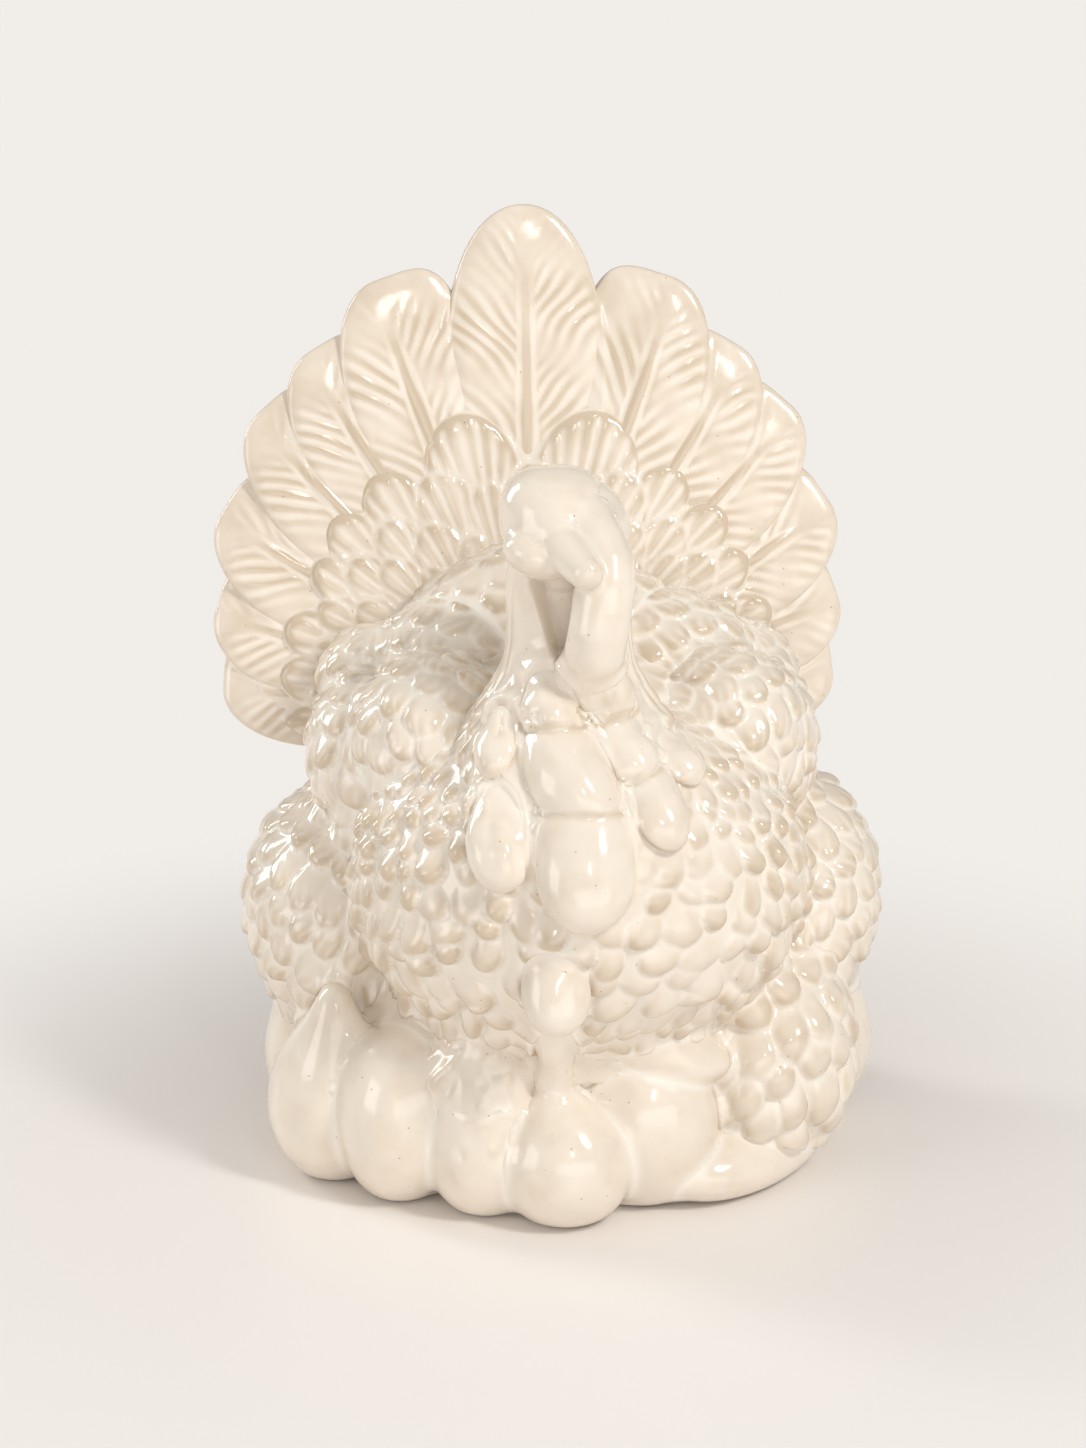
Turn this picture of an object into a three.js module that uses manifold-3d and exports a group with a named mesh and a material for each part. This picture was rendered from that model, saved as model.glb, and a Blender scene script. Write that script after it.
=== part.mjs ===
import * as THREE from 'three';
import { mergeVertices } from 'three/addons/utils/BufferGeometryUtils.js';
import Module from 'manifold-3d';

// A glazed ceramic turkey with a raised tail fan, standing on a ring of fruit.
// Millimetres, +Z up. The bird faces -Y, and its left wing in the picture is at -X.
// It is slip cast: every lump, feather and fruit is a separate casting or sprig,
// set on its neighbour with a thin joint of slip.

const wasm = await Module();
wasm.setup();

// Sizes that every piece shares
const slipJoint = 0.3;
const castWall = 4.5;
const cutterOverrun = 8;
const fruitSink = 2.5;
const footReveal = 0.5;

// How finely round forms are divided
const bodyFacets = { around: 24, down: 14 };
const hollowFacets = { around: 12, down: 7 };
const lumpFacets = { around: 14, down: 9 };
const beadFacets = { around: 10, down: 6 };
const turnedFacets = 20;

// The hollow body casting: egg, breast and back
const egg = { width: 128, depth: 128, height: 116, rise: 30, pourHole: 58 };
const breast = { width: 124, depth: 100, height: 100, placeShares: [0.05, -0.53, 0] };
const back = { width: 84, depth: 60, height: 64, placeShares: [-0.03, 0.31, 0.81] };

// The turned plinth that the fruit is set round
const plinth = {
  footWidth: 124, topWidth: 112, height: 44, footLip: 6,
  deckThickness: 6, deckBore: 68, footRimWidth: 8,
};

// The neck is a stem that flares out onto the breast
const neck = {
  rootWidth: 80, stemWidth: 33, height: 90, bore: 20,
  depthShare: 0.88, placeShares: [-0.065, -0.16, 0.32],
  flareShare: 0.62, domeShare: 0.24, flareSteps: 6, domeSteps: 3,
};
const head = { width: 29, depth: 32, height: 29, aboveNeckFoot: 86.5, offAxis: -4, forward: 2 };
const rightCheek = { width: 23, depth: 27, height: 27, placeShares: [0.6, 0.12, -0.24] };
const leftCheek = {
  width: 19, depth: 18, height: 12, leanDegrees: 22, placeShares: [-0.36, -0.6, -0.5],
};

// The beak is a blunt cone, and the snood a soft tube that hangs over it
const beak = {
  rootWidth: 14.4, tipWidth: 6.4, straightShare: 0.5, tipRoundShare: 0.5,
  rootShares: [0, -0.62, -0.2], tipShares: [0.42, -1.5, -0.56],
};
const snood = {
  width: 15.8, sides: 10, steps: 10,
  pathShares: [[0.52, -0.5, 0], [0.8, -1.08, -0.6], [0.72, -1.34, -1.3], [0.58, -1.36, -2.35]],
};

// Caruncles and the beard hang down the neck and breast, places in shares of the breast
const caruncles = [
  { width: 16, depth: 14, height: 16, placeShares: [-0.16, -0.54, 1.12] },
  { width: 11, depth: 12, height: 16, placeShares: [-0.39, -0.52, 0.92] },
  { width: 16, depth: 14, height: 23, placeShares: [-0.41, -0.81, 0.47] },
  { width: 24, depth: 18, height: 24, placeShares: [-0.1, -0.75, 0.74] },
  { width: 15, depth: 14, height: 15, placeShares: [0.07, -0.5, 1.18] },
  { width: 15, depth: 14, height: 18, placeShares: [0.14, -0.63, 0.89] },
  { width: 14, depth: 12, height: 15, placeShares: [0.36, -0.52, 0.8] },
  { width: 16, depth: 14, height: 20, placeShares: [0.26, -0.78, 0.61] },
  { width: 25, depth: 18, height: 25, placeShares: [-0.055, -0.97, 0.31] },
  { width: 17, depth: 14, height: 22, placeShares: [-0.18, -0.96, -0.29] },
];
// The foremost are set first, and the others are fitted round them
const caruncleOrder = [4, 9, 1, 10, 5, 8, 3, 6, 7, 2];
const beard = { width: 15, depth: 12, height: 20, placeShares: [-0.155, -0.86, -0.66] };

// Wings, back lobes, thighs and rump, places in shares of the egg
const plumage = {
  left_wing: { width: 44, depth: 48, height: 48, leanDegrees: -25, placeShares: [-0.547, -0.328, 0.603] },
  right_wing: { width: 42, depth: 52, height: 52, leanDegrees: 25, placeShares: [0.688, -0.25, 0.552] },
  left_wing_tip: { width: 36, depth: 50, height: 50, leanDegrees: -15, placeShares: [-0.797, -0.06, 0.414] },
  right_wing_tip: { width: 38, depth: 52, height: 50, leanDegrees: 15, placeShares: [0.844, 0, 0.414] },
  left_back_lobe: { width: 46, depth: 44, height: 34, leanDegrees: 0, placeShares: [-0.42, 0.13, 0.86] },
  right_back_lobe: { width: 50, depth: 46, height: 36, leanDegrees: 0, placeShares: [0.5, 0.16, 0.84] },
  left_flank: { width: 32, depth: 34, height: 34, leanDegrees: 0, placeShares: [-0.78, 0.26, 0.7] },
  right_flank: { width: 34, depth: 34, height: 34, leanDegrees: 0, placeShares: [0.84, 0.26, 0.68] },
  left_thigh: { width: 52, depth: 78, height: 68, leanDegrees: 0, placeShares: [-0.97, 0.09, -0.36] },
  right_thigh: { width: 52, depth: 78, height: 68, leanDegrees: 0, placeShares: [1.06, 0.12, -0.35] },
  rump: { width: 84, depth: 46, height: 76, leanDegrees: 0, placeShares: [-0.04, 0.72, 0.3] },
};

// The fan of thirteen feathers, middle one first, then each pair outwards
const fan = {
  leanDegrees: 10, placeShares: [-0.0625, 0.56, 0.483],
  thickness: 9, crown: 1.3, overlapRise: 2.4, rootRadius: 30,
  rootWidthShare: 0.8, tipShare: 0.3, outerCorner: 2.1, innerCorner: 4.6, edgeCorner: 5,
  bladeSteps: 4, tipSteps: 4,
};
const feathers = [
  { reach: 145, width: 46, sweepDegrees: 0 },
  { reach: 131, width: 42, sweepDegrees: 19 },
  { reach: 121, width: 39, sweepDegrees: 31 },
  { reach: 116, width: 38, sweepDegrees: 42 },
  { reach: 106, width: 38, sweepDegrees: 57 },
  { reach: 96, width: 35, sweepDegrees: 72 },
  { reach: 90, width: 32, sweepDegrees: 85 },
];
// The rib down a feather's front, and where its faces bend, in shares of half its width
const rib = { width: 4, height: 0.8, endShare: 0.8, widestShare: 0.3 };
const frontShares = [0.82, 0.45];
const rearShares = [0.82, 0, -0.82];
const coverts = { width: 140, height: 172, dome: 15, seat: 2, riseShare: 0.02 };
const covertFacets = { around: 28, down: 8 };

// The fruit round the plinth: angles run from +X towards +Y
const fruits = {
  front_pear: { width: 38, depth: 36, height: 36, aroundDegrees: 270, reachShare: 1.05 },
  left_gourd: { width: 38, depth: 38, height: 48, aroundDegrees: 204.8, reachShare: 1.155 },
  bumpy_gourd: { width: 34, depth: 34, height: 40, aroundDegrees: 246.7, reachShare: 1 },
  front_apple: { width: 40, depth: 38, height: 48, aroundDegrees: 290.3, reachShare: 0.93 },
  grape_bunch: { width: 46, depth: 48, height: 62, aroundDegrees: 330.9, reachShare: 1, leanDegrees: 12 },
  left_apple: { width: 36, depth: 38, height: 50, aroundDegrees: 223.8, reachShare: 1.06 },
  small_apple: {
    width: 60, depth: 30, height: 21, aroundDegrees: 316, reachShare: 1.07, turnDegrees: 42,
  },
  right_gourd: { width: 40, depth: 40, height: 48, aroundDegrees: 3.1, reachShare: 1.195 },
  rear_right_apple: { width: 40, depth: 40, height: 46, aroundDegrees: 34, reachShare: 1.0 },
  rear_pumpkin: { width: 50, depth: 40, height: 44, aroundDegrees: 72, reachShare: 0.98 },
  rear_pear: { width: 36, depth: 38, height: 50, aroundDegrees: 107, reachShare: 0.98 },
  rear_gourd: { width: 42, depth: 40, height: 44, aroundDegrees: 141, reachShare: 1.0 },
  rear_left_apple: { width: 38, depth: 38, height: 48, aroundDegrees: 174, reachShare: 1.06 },
};
const grape = { width: 18, count: 36, outShare: 0.9 };
const grapeFacets = { around: 8, down: 5 };
const knobs = {
  left_gourd: { width: 17, depth: 17, height: 44, placeShares: [0, -0.35, 0.62] },
  bumpy_gourd: { width: 28, depth: 28, height: 34, placeShares: [0, 0.1, 1] },
  front_pear: { width: 14, depth: 14, height: 26, placeShares: [-0.05, 0.1, 0.78] },
  rear_pear: { width: 14, depth: 14, height: 26, placeShares: [0, 0, 0.75] },
};
const leaf = { width: 36, depth: 24, height: 16, leanDegrees: 10, placeShares: [0.25, -0.05, 0.86] };

// Glaze colours
const glazeColour = 0xe8decd;
const glazeRoughness = 0.18;

const level = 0;
const up = new THREE.Vector3(0, 0, 1);

// A closed geometry as a solid that can be joined and cut
function solidOf(geometry) {
  geometry.deleteAttribute('normal');
  geometry.deleteAttribute('uv');
  const merged = mergeVertices(geometry);
  const triVerts = new Uint32Array(merged.index.array);
  const vertProperties = new Float32Array(merged.attributes.position.array);
  return new wasm.Manifold(new wasm.Mesh({ numProp: 3, vertProperties, triVerts }));
}

// A rounded mass: its half sizes, its centre, its lean about the Y axis, and its turn about Z
function massOf(size, centre) {
  return {
    half: new THREE.Vector3(size.width / 2, size.depth / 2, size.height / 2),
    centre,
    lean: THREE.MathUtils.degToRad(size.leanDegrees ?? level),
    turn: THREE.MathUtils.degToRad(size.turnDegrees ?? level),
  };
}

// The point at the given shares of a mass's half sizes from its centre
function pointOn(mass, shares) {
  return new THREE.Vector3(...shares).multiply(mass.half).add(mass.centre);
}

function massOn(carrier, size) {
  return massOf(size, pointOn(carrier, size.placeShares));
}

// An ellipsoid over a mass, larger than it by grow all round
function ellipsoid(mass, grow, facets) {
  const geometry = new THREE.SphereGeometry(1, facets.around, facets.down);
  geometry.rotateX(Math.PI / 2);
  geometry.scale(mass.half.x + grow, mass.half.y + grow, mass.half.z + grow);
  geometry.rotateY(mass.lean);
  geometry.rotateZ(mass.turn);
  geometry.translate(mass.centre.x, mass.centre.y, mass.centre.z);
  return solidOf(geometry);
}

// A solid turned about the upright axis through centre, from radius and height pairs,
// and narrowed from front to back by a share
function turned(profile, centre, depthShare = 1) {
  const points = profile.map(([radius, height]) => new THREE.Vector2(radius, height));
  const geometry = new THREE.LatheGeometry(points, turnedFacets);
  geometry.rotateX(Math.PI / 2);
  geometry.scale(1, depthShare, 1);
  geometry.translate(centre.x, centre.y, centre.z);
  return solidOf(geometry);
}

// An upright rod from one height to another
function rod(centre, width, low, high) {
  const radius = width / 2;
  const foot = new THREE.Vector3(centre.x, centre.y, 0);
  return turned([[0, low], [radius, low], [radius, high], [0, high]], foot);
}

const eggMass = massOf(egg, new THREE.Vector3(0, 0, egg.rise + egg.height / 2));
const breastMass = massOn(eggMass, breast);
const backMass = massOn(eggMass, back);
const neckFoot = pointOn(breastMass, neck.placeShares);
const headCentre = new THREE.Vector3(
  neckFoot.x + head.offAxis, neckFoot.y - head.forward, neckFoot.z + head.aboveNeckFoot);
const headMass = massOf(head, headCentre);

// Body: three rounded masses joined, hollow, with a pouring hole underneath
function bodyForm(grow, facets = bodyFacets) {
  const rounds = [eggMass, breastMass, backMass].map((mass) => ellipsoid(mass, grow, facets));
  return rounds.reduce((joined, round) => joined.add(round));
}

function hollowBody(solid) {
  const hollow = bodyForm(-castWall, hollowFacets);
  const hole = rod(eggMass.centre, egg.pourHole, 0, eggMass.centre.z);
  return solid.subtract(hollow).subtract(hole);
}

// Plinth: a turned ring wall with a foot rim below and a deck that the body beds into
function plinthForm(grow) {
  const footRadius = plinth.footWidth / 2;
  const topRadius = plinth.topWidth / 2 + grow;
  const boreRadius = plinth.deckBore / 2;
  const deckUnderside = plinth.height - plinth.deckThickness;
  return turned([
    [footRadius - plinth.footRimWidth, 0],
    [footRadius + grow, 0],
    [footRadius + grow, plinth.footLip],
    [topRadius, plinth.height + grow],
    [boreRadius, plinth.height + grow],
    [boreRadius, deckUnderside],
    [topRadius - castWall - grow, deckUnderside],
    [footRadius - plinth.footRimWidth, 0],
  ], new THREE.Vector3(eggMass.centre.x, eggMass.centre.y, 0));
}

// Neck: radius falls from root to stem along a cosine flare, and the top closes in a dome
function neckForm(grow) {
  const stemRadius = neck.stemWidth / 2;
  const flare = neck.rootWidth / 2 - stemRadius;
  const dome = neck.height * neck.domeShare;
  const side = [];
  for (let step = 0; step <= neck.flareSteps; step += 1) {
    const share = step / neck.flareSteps;
    const radius = stemRadius + flare * (1 + Math.cos(Math.PI * share)) / 2 + grow;
    side.push([radius, share * neck.flareShare * neck.height]);
  }
  for (let step = 0; step < neck.domeSteps; step += 1) {
    const turn = (step / neck.domeSteps) * Math.PI / 2;
    side.push([(stemRadius + grow) * Math.cos(turn), neck.height - dome * (1 - Math.sin(turn))]);
  }
  return turned([[0, 0], ...side, [0, neck.height + grow]], neckFoot, neck.depthShare);
}

function boredNeck(solid) {
  const top = neckFoot.z + neck.height * (1 - neck.domeShare);
  return solid.subtract(rod(neckFoot, neck.bore, neckFoot.z - cutterOverrun, top));
}

// Beak: a cone between two points of the head, its tip rounded off by a bead
function beakForm(grow) {
  const root = pointOn(headMass, beak.rootShares);
  const tip = pointOn(headMass, beak.tipShares);
  const span = tip.clone().sub(root);
  const wide = beak.rootWidth / 2 + grow;
  const narrow = beak.tipWidth / 2 + grow;
  const length = span.length();
  const round = narrow * beak.tipRoundShare;
  const profile = [
    [0, 0],
    [wide, 0],
    [wide, length * beak.straightShare],
    [narrow + round, length],
    [narrow, length + narrow],
    [0, length + narrow + round],
  ];
  const points = profile.map(([radius, along]) => new THREE.Vector2(radius, along));
  const geometry = new THREE.LatheGeometry(points, beadFacets.around);
  geometry.rotateX(Math.PI / 2);
  geometry.applyQuaternion(new THREE.Quaternion().setFromUnitVectors(up, span.normalize()));
  geometry.translate(root.x, root.y, root.z);
  return solidOf(geometry);
}

// Snood: a round section carried along a curve down the front of the neck
function snoodForm(grow) {
  const path = new THREE.CatmullRomCurve3(snood.pathShares.map((shares) => pointOn(headMass, shares)));
  const section = new THREE.Shape();
  section.absarc(0, 0, snood.width / 2 + grow, 0, 2 * Math.PI);
  const ring = new THREE.Shape(section.getPoints(snood.sides / 2).slice(0, -1));
  const geometry = new THREE.ExtrudeGeometry(ring, {
    steps: snood.steps, extrudePath: path, bevelEnabled: false,
  });
  return solidOf(geometry);
}

const fanRoot = pointOn(eggMass, fan.placeShares);
const fanTurn = Math.PI / 2 - THREE.MathUtils.degToRad(fan.leanDegrees);

// Lays a geometry drawn with Y up and +Z forward onto the leaning fan
function ontoFan(geometry) {
  geometry.rotateX(fanTurn);
  geometry.translate(fanRoot.x, fanRoot.y, fanRoot.z);
  return solidOf(geometry);
}

// Where a feather is cut across, root to tip: how far along, how wide, and how far over the tip
function featherStations(feather, grow) {
  const root = fan.rootRadius - grow;
  const tip = feather.reach * fan.tipShare;
  const shoulder = feather.reach - tip;
  const stations = [];
  for (let step = 0; step <= fan.bladeSteps; step += 1) {
    const share = step / fan.bladeSteps;
    const widthShare = fan.rootWidthShare + (1 - fan.rootWidthShare) * share;
    stations.push({ along: root + (shoulder - root) * share, widthShare, over: 0 });
  }
  for (let step = 1; step < fan.tipSteps; step += 1) {
    const over = Math.sin((step / fan.tipSteps) * Math.PI / 2);
    stations.push({ along: shoulder + (tip + grow) * over, widthShare: 1, over });
  }
  return stations;
}

// A point of a feather's face at a share of its half width: the tip closes as a superellipse,
// the edge rounds off, and the front is crowned and rises towards the outer edge
function featherPoint(feather, hand, grow, station, share, face, lift = 0) {
  const corner = share * hand < 0 ? fan.innerCorner : fan.outerCorner;
  const closing = station.over ** corner;
  const half = (feather.width / 2 + grow) * station.widthShare * (1 - closing) ** (1 / corner);
  const rim = Math.min((closing + Math.abs(share) ** corner * (1 - closing)) ** (1 / corner), 1);
  const thick = (fan.thickness / 2 + grow) * (1 - rim ** fan.edgeCorner) ** (1 / fan.edgeCorner);
  const crown = fan.crown * (1 - rim ** 2);
  const tilt = face > 0 ? fan.overlapRise * share * hand : 0;
  return [share * half, station.along, face * (thick + crown) + tilt + lift];
}

// The points round one cut of a feather: along the front, then back along the rear
function featherRing(feather, hand, grow, station) {
  const widthHere = feather.width * (1 - station.over ** fan.outerCorner);
  const ribShare = Math.min(rib.width / widthHere, rib.widestShare);
  const shown = station.along < feather.reach * rib.endShare ? rib.height : 0;
  const front = [...frontShares.map((share) => -share), ...frontShares.toReversed()];
  const half = front.length / 2;
  const point = (share, face, lift) => featherPoint(feather, hand, grow, station, share, face, lift);
  const edge = (share) => [...point(share, 0).slice(0, 2), 0];
  return [
    edge(-1),
    ...front.slice(0, half).map((share) => point(share, 1)),
    point(-ribShare, 1, shown),
    point(ribShare, 1, shown),
    ...front.slice(half).map((share) => point(share, 1)),
    edge(1),
    ...rearShares.map((share) => point(share, -1)),
  ];
}

// Faces of a closed skin over rings of points, with a point before the first and after the last
function skinOf(rings, first, last) {
  const count = rings[0].length;
  const points = [...rings.flat(), first, last];
  const firstIndex = points.length - 2;
  const lastIndex = points.length - 1;
  const faces = [];
  for (let around = 0; around < count; around += 1) {
    const next = (around + 1) % count;
    for (let ring = 0; ring + 1 < rings.length; ring += 1) {
      const low = ring * count;
      const high = low + count;
      faces.push(low + around, low + next, high + next, low + around, high + next, high + around);
    }
    const top = (rings.length - 1) * count;
    faces.push(firstIndex, next, around, top + around, top + next, lastIndex);
  }
  const geometry = new THREE.BufferGeometry();
  geometry.setAttribute('position', new THREE.Float32BufferAttribute(points.flat(), 3));
  geometry.setIndex(faces);
  return geometry;
}

function featherForm(feather, hand, grow) {
  const stations = featherStations(feather, grow);
  const rings = stations.map((station) => featherRing(feather, hand, grow, station));
  const geometry = skinOf(rings, [0, stations[0].along, 0], [0, feather.reach + grow, 0]);
  geometry.rotateZ(-hand * THREE.MathUtils.degToRad(feather.sweepDegrees));
  return ontoFan(geometry);
}

// Presses what lies behind the middle plane up to just behind it
function flattenBack(geometry, grow) {
  const points = geometry.attributes.position;
  const press = (coverts.seat / 2 + grow) / (coverts.dome + grow);
  for (let index = 0; index < points.count; index += 1) {
    const height = points.getZ(index);
    points.setZ(index, height < 0 ? height * press : height);
  }
}

// Coverts: a shallow dome over the feather roots, its flat back let into the feathers
function covertsForm(grow) {
  const geometry = new THREE.SphereGeometry(1, covertFacets.around, covertFacets.down);
  geometry.rotateX(Math.PI / 2);
  geometry.scale(coverts.width / 2 + grow, coverts.height / 2 + grow, coverts.dome + grow);
  flattenBack(geometry, grow);
  geometry.translate(0, coverts.height * coverts.riseShare, fan.thickness / 2 - coverts.seat);
  return ontoFan(geometry);
}

// A fruit stands on the table at its own angle round the plinth
function fruitMass(fruit) {
  const angle = THREE.MathUtils.degToRad(fruit.aroundDegrees);
  const reach = fruit.reachShare * plinth.footWidth / 2;
  const centre = new THREE.Vector3(
    eggMass.centre.x + reach * Math.cos(angle),
    eggMass.centre.y + reach * Math.sin(angle),
    fruit.height / 2 - fruitSink);
  return massOf(fruit, centre);
}

// Takes off whatever a fruit has below the plane just above the table
function trimFoot(solid) {
  const reach = plinth.footWidth * 2;
  const slab = new THREE.BoxGeometry(reach, reach, fruitSink + cutterOverrun);
  slab.translate(0, 0, footReveal - (fruitSink + cutterOverrun) / 2);
  return solid.subtract(solidOf(slab));
}

// A fruit with a drawn-out stalk end
function knobbedForm(mass, knob, grow) {
  return ellipsoid(mass, grow, lumpFacets).add(ellipsoid(massOn(mass, knob), grow, beadFacets));
}

// Bunch of grapes: a core set round with grapes along a spiral of even spacing
function bunchForm(mass, grow) {
  const goldenTurn = Math.PI * (3 - Math.sqrt(5));
  const size = { width: grape.width, depth: grape.width, height: grape.width };
  let bunch = ellipsoid(mass, grow, lumpFacets);
  for (let index = 0; index < grape.count; index += 1) {
    const rise = 1 - (2 * index + 1) / grape.count;
    const girth = Math.sqrt(1 - rise * rise) * grape.outShare;
    const turn = index * goldenTurn;
    const shares = [girth * Math.cos(turn), girth * Math.sin(turn), rise * grape.outShare];
    bunch = bunch.add(ellipsoid(massOf(size, pointOn(mass, shares)), grow, grapeFacets));
  }
  return bunch;
}

// Every piece in the order in which it was set: a later one is fitted round the earlier ones
const castings = [];

function cast(name, centre, form, finish = (solid) => solid) {
  castings.push({ name, centre, form, finish });
}

function castMass(name, mass, facets = lumpFacets, finish = undefined) {
  cast(name, mass.centre, (grow) => ellipsoid(mass, grow, facets), finish);
}

cast('body_shell', eggMass.centre, bodyForm, hollowBody);
cast('plinth', new THREE.Vector3(eggMass.centre.x, eggMass.centre.y, 0), plinthForm);
cast('neck', neckFoot, neckForm, boredNeck);
castMass('head', headMass);
castMass('right_cheek', massOn(headMass, rightCheek), beadFacets);
cast('beak', pointOn(headMass, beak.rootShares), beakForm);
castMass('left_cheek', massOn(headMass, leftCheek), beadFacets);
cast('snood', pointOn(headMass, snood.pathShares[0]), snoodForm);
for (const number of caruncleOrder) {
  castMass(`caruncle_${number}`, massOn(breastMass, caruncles[number - 1]), beadFacets);
}
castMass('beard', massOn(breastMass, beard), beadFacets);
for (const [name, size] of Object.entries(plumage)) {
  castMass(name, massOn(eggMass, size));
}
cast('tail_coverts', fanRoot, covertsForm);
feathers.forEach((feather, index) => {
  const hands = index === 0 ? [['', 0]] : [['left_', -1], ['right_', 1]];
  for (const [side, hand] of hands) {
    cast(`${side}tail_feather_${index}`, fanRoot, (grow) => featherForm(feather, hand, grow));
  }
});
for (const [name, fruit] of Object.entries(fruits)) {
  const mass = fruitMass(fruit);
  if (name in knobs) {
    cast(name, mass.centre, (grow) => knobbedForm(mass, knobs[name], grow), trimFoot);
  } else if (name === 'grape_bunch') {
    cast(name, mass.centre, (grow) => bunchForm(mass, grow), trimFoot);
  } else {
    castMass(name, mass, lumpFacets, trimFoot);
  }
}
castMass('leaf', massOn(fruitMass(fruits.front_apple), leaf), beadFacets);

function boxesMeet(one, other) {
  const a = one.boundingBox();
  const b = other.boundingBox();
  return [0, 1, 2].every((axis) => a.min[axis] < b.max[axis] && b.min[axis] < a.max[axis]);
}

// What is left when a fitted piece has lost its loose slivers
function mainBody(solid) {
  return solid.decompose().reduce((most, body) => (body.volume() > most.volume() ? body : most));
}

// The solid with earlier pieces, grown by the joint, taken out of it
function fitted(casting, earlier) {
  let solid = casting.form(0);
  for (const grown of earlier) {
    if (boxesMeet(solid, grown)) {
      solid = solid.subtract(grown);
    }
  }
  return mainBody(casting.finish(solid));
}

function meshOf(name, solid, centre) {
  const { vertProperties, triVerts } = solid.getMesh();
  const geometry = new THREE.BufferGeometry();
  geometry.setAttribute('position', new THREE.BufferAttribute(vertProperties, 3));
  geometry.setIndex(new THREE.BufferAttribute(triVerts, 1));
  geometry.translate(-centre.x, -centre.y, -centre.z);
  geometry.computeVertexNormals();
  const glaze = new THREE.MeshStandardMaterial({
    color: glazeColour, roughness: glazeRoughness, metalness: 0,
  });
  const mesh = new THREE.Mesh(geometry, glaze);
  mesh.name = name;
  mesh.position.copy(centre);
  return mesh;
}

const bird = new THREE.Group();
const earlier = [];
for (const casting of castings) {
  bird.add(meshOf(casting.name, fitted(casting, earlier), casting.centre));
  earlier.push(casting.form(slipJoint));
}

// The origin is on the table, under the middle of the whole figure
const extent = new THREE.Box3().setFromObject(bird, true);
const middle = extent.getCenter(new THREE.Vector3());
bird.position.set(-middle.x, -middle.y, 0);

const figure = new THREE.Group();
figure.add(bird);

export default figure;
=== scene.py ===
from collections import namedtuple
import math

import bpy
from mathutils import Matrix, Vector
import numpy as np


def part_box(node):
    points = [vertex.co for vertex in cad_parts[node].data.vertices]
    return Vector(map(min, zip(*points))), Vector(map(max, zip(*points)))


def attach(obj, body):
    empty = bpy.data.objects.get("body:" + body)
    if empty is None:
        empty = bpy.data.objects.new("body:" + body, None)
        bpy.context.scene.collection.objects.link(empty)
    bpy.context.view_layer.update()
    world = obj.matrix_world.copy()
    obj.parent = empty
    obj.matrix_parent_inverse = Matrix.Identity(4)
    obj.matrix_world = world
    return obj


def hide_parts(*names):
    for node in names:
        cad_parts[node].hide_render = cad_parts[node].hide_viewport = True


bl_info = {
    "name": "Ceramic Turkey Figure",
    "version": (1, 0, 0),
    "blender": (4, 5, 0),
    "location": "3D View > Sidebar > Turkey",
    "description": "Glazed surfaces of a slip-cast turkey figure, laid over its CAD solids",
    "category": "Add Mesh",
}

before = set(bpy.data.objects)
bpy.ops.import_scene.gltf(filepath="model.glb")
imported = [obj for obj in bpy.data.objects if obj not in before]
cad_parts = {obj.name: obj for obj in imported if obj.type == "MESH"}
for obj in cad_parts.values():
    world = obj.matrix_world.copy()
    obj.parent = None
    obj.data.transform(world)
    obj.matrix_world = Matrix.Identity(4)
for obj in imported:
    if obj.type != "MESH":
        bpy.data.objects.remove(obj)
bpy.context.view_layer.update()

# Tables and shapes are in millimetres from the foot of the egg's axis, as in the part's
# source: +Z up, the bird faces -Y. The plinth is round that axis, so it gives its place.
PLINTH_LOW, PLINTH_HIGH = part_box("plinth")
AXIS_FOOT = (np.array(PLINTH_LOW) + np.array(PLINTH_HIGH)) / 2 * np.array([1, 1, 0])
MM = 0.001
TINY = 1e-9

Mass = namedtuple("Mass", "half centre turn")


def lean_about_y(degrees):
    """Turn that leans a mass from +Z towards +X."""
    c, s = math.cos(math.radians(degrees)), math.sin(math.radians(degrees))
    return np.array([[c, 0, s], [0, 1, 0], [-s, 0, c]])


def mass_of(size, centre, lean=0.0):
    """A mass from its full size, its centre and its lean in degrees."""
    return Mass(np.array(size, float) / 2, np.array(centre, float), lean_about_y(lean))


def tilt_about_x(degrees):
    """Turn that leans a mass from +Z towards +Y, away from the viewer."""
    c, s = math.cos(math.radians(degrees)), math.sin(math.radians(degrees))
    return np.array([[1, 0, 0], [0, c, s], [0, -s, c]])


def turn_about_z(degrees):
    """Turn about the upright, from +X towards +Y."""
    c, s = math.cos(math.radians(degrees)), math.sin(math.radians(degrees))
    return np.array([[c, -s, 0], [s, c, 0], [0, 0, 1]])


def smooth_step(low, high, value):
    """Goes from 0 at low to 1 at high as 3 s^2 - 2 s^3, where s is the share between them."""
    share = np.clip((value - low) / (high - low), 0, 1)
    return share * share * (3 - 2 * share)


def point_on(carrier, shares):
    """A point given in shares of a mass's half sizes from its centre."""
    return carrier.centre + carrier.half * np.array(shares, float)


def mass_on(carrier, size, shares, lean=0.0):
    """A mass whose centre is given in shares of its carrier's half sizes."""
    return mass_of(size, point_on(carrier, shares), lean)


EGG = mass_of((128, 128, 116), (0, 0, 88))
BREAST = mass_on(EGG, (124, 100, 100), (0.05, -0.53, 0))
BACK = mass_on(EGG, (84, 60, 64), (-0.03, 0.31, 0.81))
PLINTH = {"foot": 62.0, "top": 56.0, "height": 44.0, "lip": 6.0, "deck": 6.0, "bore": 34.0,
          "rim": 8.0, "wall": 4.5}
# Height and radius of the slip skirt between the plinth and what stands on it, and the
# share of the level distance to it that is the nearest distance
SKIRT = [(30.0, 60.0), (38.0, 62.5), (46.0, 63.5), (52.0, 61.5), (56.0, 58.0), (59.5, 54.5)]
SKIRT_SLOPES = (1, 1, 1, 0.9, 0.78, 0.7)
POUR_HOLE = 29.0
CAST_WALL = 4.5

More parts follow.
